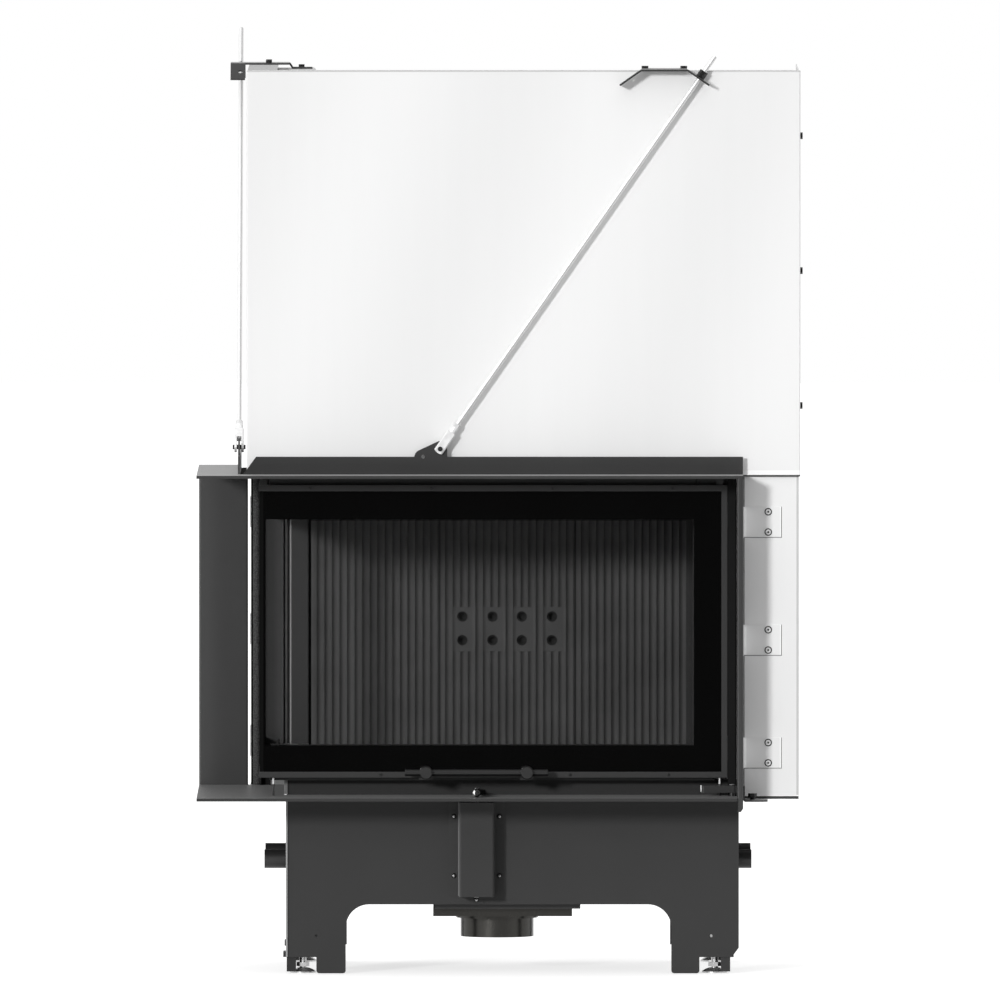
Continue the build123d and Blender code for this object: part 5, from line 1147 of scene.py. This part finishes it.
def folded_post():
    """The folded sheet post between the side pane and the back lining."""
    half = 500.0  # half of the plane that it starts from
    low, high = SLAB_LOW + 0.5, POST_TOP
    first, second = Vector(POST_CORNERS[0]), Vector(POST_CORNERS[1])
    post = Piece("folded_post", bpy.ops.mesh.primitive_plane_add, size=2 * half * MM,
                 rotation=(math.pi / 2, 0, 0))
    post.pick(lambda at: at.z > 0, "VERT").shift(z=high - half)
    post.pick(lambda at: at.z < 0, "VERT").shift(z=low + half)
    post.pick(lambda at: at.x < 0, "VERT").shift(first.x + half, first.y)
    post.pick(lambda at: at.x > 0.4, "VERT").shift(second.x - half, second.y)
    here = second
    for corner in POST_CORNERS[2:]:
        end = point(here.x, here.y, 0)
        post.pick(lambda mid, way: math.hypot(mid.x - end.x, mid.y - end.y) < NEAR, "EDGE")
        step = Vector(corner) - here
        post.extrude(step.x, step.y)
        here = Vector(corner)
    made = post.done(outward=True)
    modify(made, "SOLIDIFY", thickness=POST_SHEET * MM, offset=0.0)
    fit(made, "firebox", "insert", "rear_left_post", finish=post_paint)


# --- brackets, rails and edges -------------

PANEL_RAIL = (461.3, 88.7, 303.1)  # its middle: X, setback, Z
PANEL_SHADOW_STRIP = (-424.0, 539.2, 577.0)
BASE_LEFT = -361.8
BASE_EDGES = ((28.0, 299.5, 3.2), (305.5, 333.0, 6.0))  # low, high, width


def bracket_plates():
    """The jamb brackets: bent angles in front, and flat plates of the same size at the side."""
    pieces = []
    middle = (FRAME_RIGHT + BRACKET_RIGHT) / 2
    back = SCREW_SEAT + BRACKET_SHEET
    tall = 2 * BRACKET_HALF
    for height in SCREW_HEIGHTS:
        plate = box_piece("bracket_plate", front_place(middle, back - BRACKET_SHEET / 2, height),
                          point(BRACKET_RIGHT - FRAME_RIGHT, BRACKET_SHEET, tall))
        plate.pick(lambda mid, run: mid.y < (FRONT + SCREW_SEAT) * MM + NEAR
                   and mid.x < FRAME_RIGHT * MM + NEAR, "EDGE").bevel(0.3)
        flat = plate.done()
        turned = own_copy(flat, "bracket_side_plate")
        move_to_side(turned, (FRAME_RIGHT, SCREW_SEAT, height), mirrored=True)
        leg_place = front_place(FRAME_RIGHT + BRACKET_SHEET / 2, back - BRACKET_LEG / 2, height)
        leg = box_piece("bracket_leg", leg_place, point(BRACKET_SHEET, BRACKET_LEG, tall))
        leg.pick(crosswise, "EDGE").bevel(0.3)
        pieces += [flat, turned, leg.done()]
    fit(as_one("bracket_plates", pieces), "galvanised", "insert", "jamb_brackets",
        finish=bracket_sheet)


def panel_shadow_strip():
    """A thin black strip down the front of the left lower panel, beside the rope: a painted shadow
    of the jamb.
    """
    strip = box_piece("panel_shadow_strip", front_place(*PANEL_SHADOW_STRIP), point(5.8, 1.2, 543.0))
    strip.pick(upright, "EDGE").bevel(0.4, 3)
    fit(strip.done(), "black_base", "insert", finish=shadow_black)


def panel_rails():
    """The dark sheet edge under each lower panel."""
    for name in ("front_panel_rail", "side_panel_rail"):
        rail = box_piece(name, front_place(*PANEL_RAIL), point(95.4, 1.4, 4.4))
        rail.pick(crosswise, "EDGE").bevel(0.4)
        made = rail.done()
        if name == "side_panel_rail":
            move_to_side(made, PANEL_RAIL)
        fit(made, "black_frame", "insert")


def base_edges():
    """The rounded fold down the base's left front edge, painted pale as a highlight where it
    catches the light.
    """
    pieces = []
    for low, high, wide in BASE_EDGES:
        middle = front_place(BASE_LEFT - wide / 2, BASE_SETBACK + 0.5, (low + high) / 2)
        edge = box_piece("base_edge", middle, point(wide, 3.0, high - low))
        edge.pick(lambda mid, run: mid.y < (FRONT + BASE_SETBACK) * MM and upright(mid, run),
                  "EDGE")
        pieces.append(edge.bevel(1.0, 4).done())
    fit(as_one("base_edge", pieces), "black_base", "insert", finish=edge_highlight_paint)


def fittings():
    """Every piece that the scene adds to the solids or puts in their place."""
    panel_rails()
    base_edges()
    fluted_lining()
    folded_post()
    panel_shadow_strip()
    bracket_plates()
    bracket_screws()
    rod_threads()
    foot_threads()
    jamb_rope()
    door_seal()
    lift_cables()
    rail_screws()
    lock_tip()
    cover_screws()


# --- stage, light and view -----------------

SKY = 0.55  # strength of the room's light on the object
SKY_LOW = 0.70  # its share at the horizon, and then straight up
SKY_HIGH = 1.80
DARK_BEHIND = (-0.92, -0.55)  # between these the mirrored room darkens behind the viewer
DARK_SHARE = 0.04
SUN = 1.86
SUN_ALONG = Vector((0.53, 1.0, -0.25))
SUN_WIDTH = math.radians(8)
FLOOR_SHADE = 0.62
FLOOR_SEEN = 1.03  # how bright the eye sees it
FLOOR_DROP = 0.0006  # metres under the feet
FLOOR_FRONT = -4.5
FLOOR_REAR = 30.0


def lay_floor():
    """A plain pale floor that stays white to the eye and still takes the shadow."""
    middle = (FLOOR_FRONT + FLOOR_REAR) / 2
    bpy.ops.mesh.primitive_plane_add(
        size=FLOOR_REAR - FLOOR_FRONT, location=(0, middle, -FLOOR_DROP))
    floor = bpy.context.object
    floor.name = "studio_floor"
    pale = new_finish("studio_floor")
    seen = pale.larger(pale.ray("Camera"), pale.larger(
        pale.ray("Glossy"), pale.ray("Transmission")))
    strength = seen * (FLOOR_SEEN - FLOOR_SHADE * SKY)
    body = pale.node("ShaderNodeBsdfDiffuse", {}, {"Color": colour(FLOOR_SHADE)})
    glow = pale.node("ShaderNodeEmission", {}, {"Color": colour(1.0), "Strength": strength})
    both = pale.node("ShaderNodeAddShader", {}, {0: body, 1: glow})
    floor.data.materials.append(pale.done(both))


def light_room():
    """An even pale room, white to the eye, dark behind the viewer, and one soft sun."""
    world = bpy.data.worlds.new("studio_room")
    bpy.context.scene.world = world
    room = Finish(world)
    seen = room.larger(room.ray("Camera"), room.ray("Transmission"))
    glossy = room.ray("Glossy")
    along = room.node("ShaderNodeTexCoord", {}, {}, "Generated")
    forward = room.node("ShaderNodeSeparateXYZ", {}, {0: along}, "Y")
    upward = room.node("ShaderNodeSeparateXYZ", {}, {0: along}, "Z")
    screen = room.spread(forward, *DARK_BEHIND, DARK_SHARE, 1.0, "SMOOTHSTEP")
    strength = room.larger(seen, glossy * screen)
    lamp = (1.0 - room.larger(seen, glossy)) * SKY
    lamp = lamp * room.spread(upward, 0.0, 1.0, SKY_LOW, SKY_HIGH)
    shine = room.node(
        "ShaderNodeBackground", {}, {"Color": colour(1.0), "Strength": strength + lamp})
    room.done(shine, "ShaderNodeOutputWorld")
    bpy.ops.object.light_add(type="SUN", location=(-3, -6, 4))
    sun = bpy.context.object
    sun.name = "soft_sun"
    sun.data.energy = SUN
    sun.data.angle = SUN_WIDTH
    sun.rotation_euler = SUN_ALONG.to_track_quat("-Z", "Y").to_euler()


CAMERA_DISTANCE = 60.3282
CAMERA_HEIGHT = 3.0128
CAMERA_TILT = math.atan(1294 / 35294)  # in pixels: the horizon's height, the focal length
CAMERA_LENS = 1271.9
CAMERA_SENSOR = 36
CAMERA_REACH = 400


def set_camera():
    """The far, slightly raised view of the photograph."""
    bpy.ops.object.camera_add(
        location=(0, -CAMERA_DISTANCE, CAMERA_HEIGHT),
        rotation=(math.pi / 2 - CAMERA_TILT, 0, 0))
    camera = bpy.context.object
    camera.data.sensor_width = CAMERA_SENSOR
    camera.data.lens = CAMERA_LENS
    camera.data.clip_end = CAMERA_REACH
    bpy.context.scene.camera = camera


def main():
    bpy.ops.object.select_all(action="DESELECT")
    set_camera()
    dress_nodes()
    fittings()
    lay_floor()
    light_room()
    bpy.context.scene.view_settings.view_transform = "Standard"


def corners(box):
    return [list(map(float, corner)) for corner in box]


main()
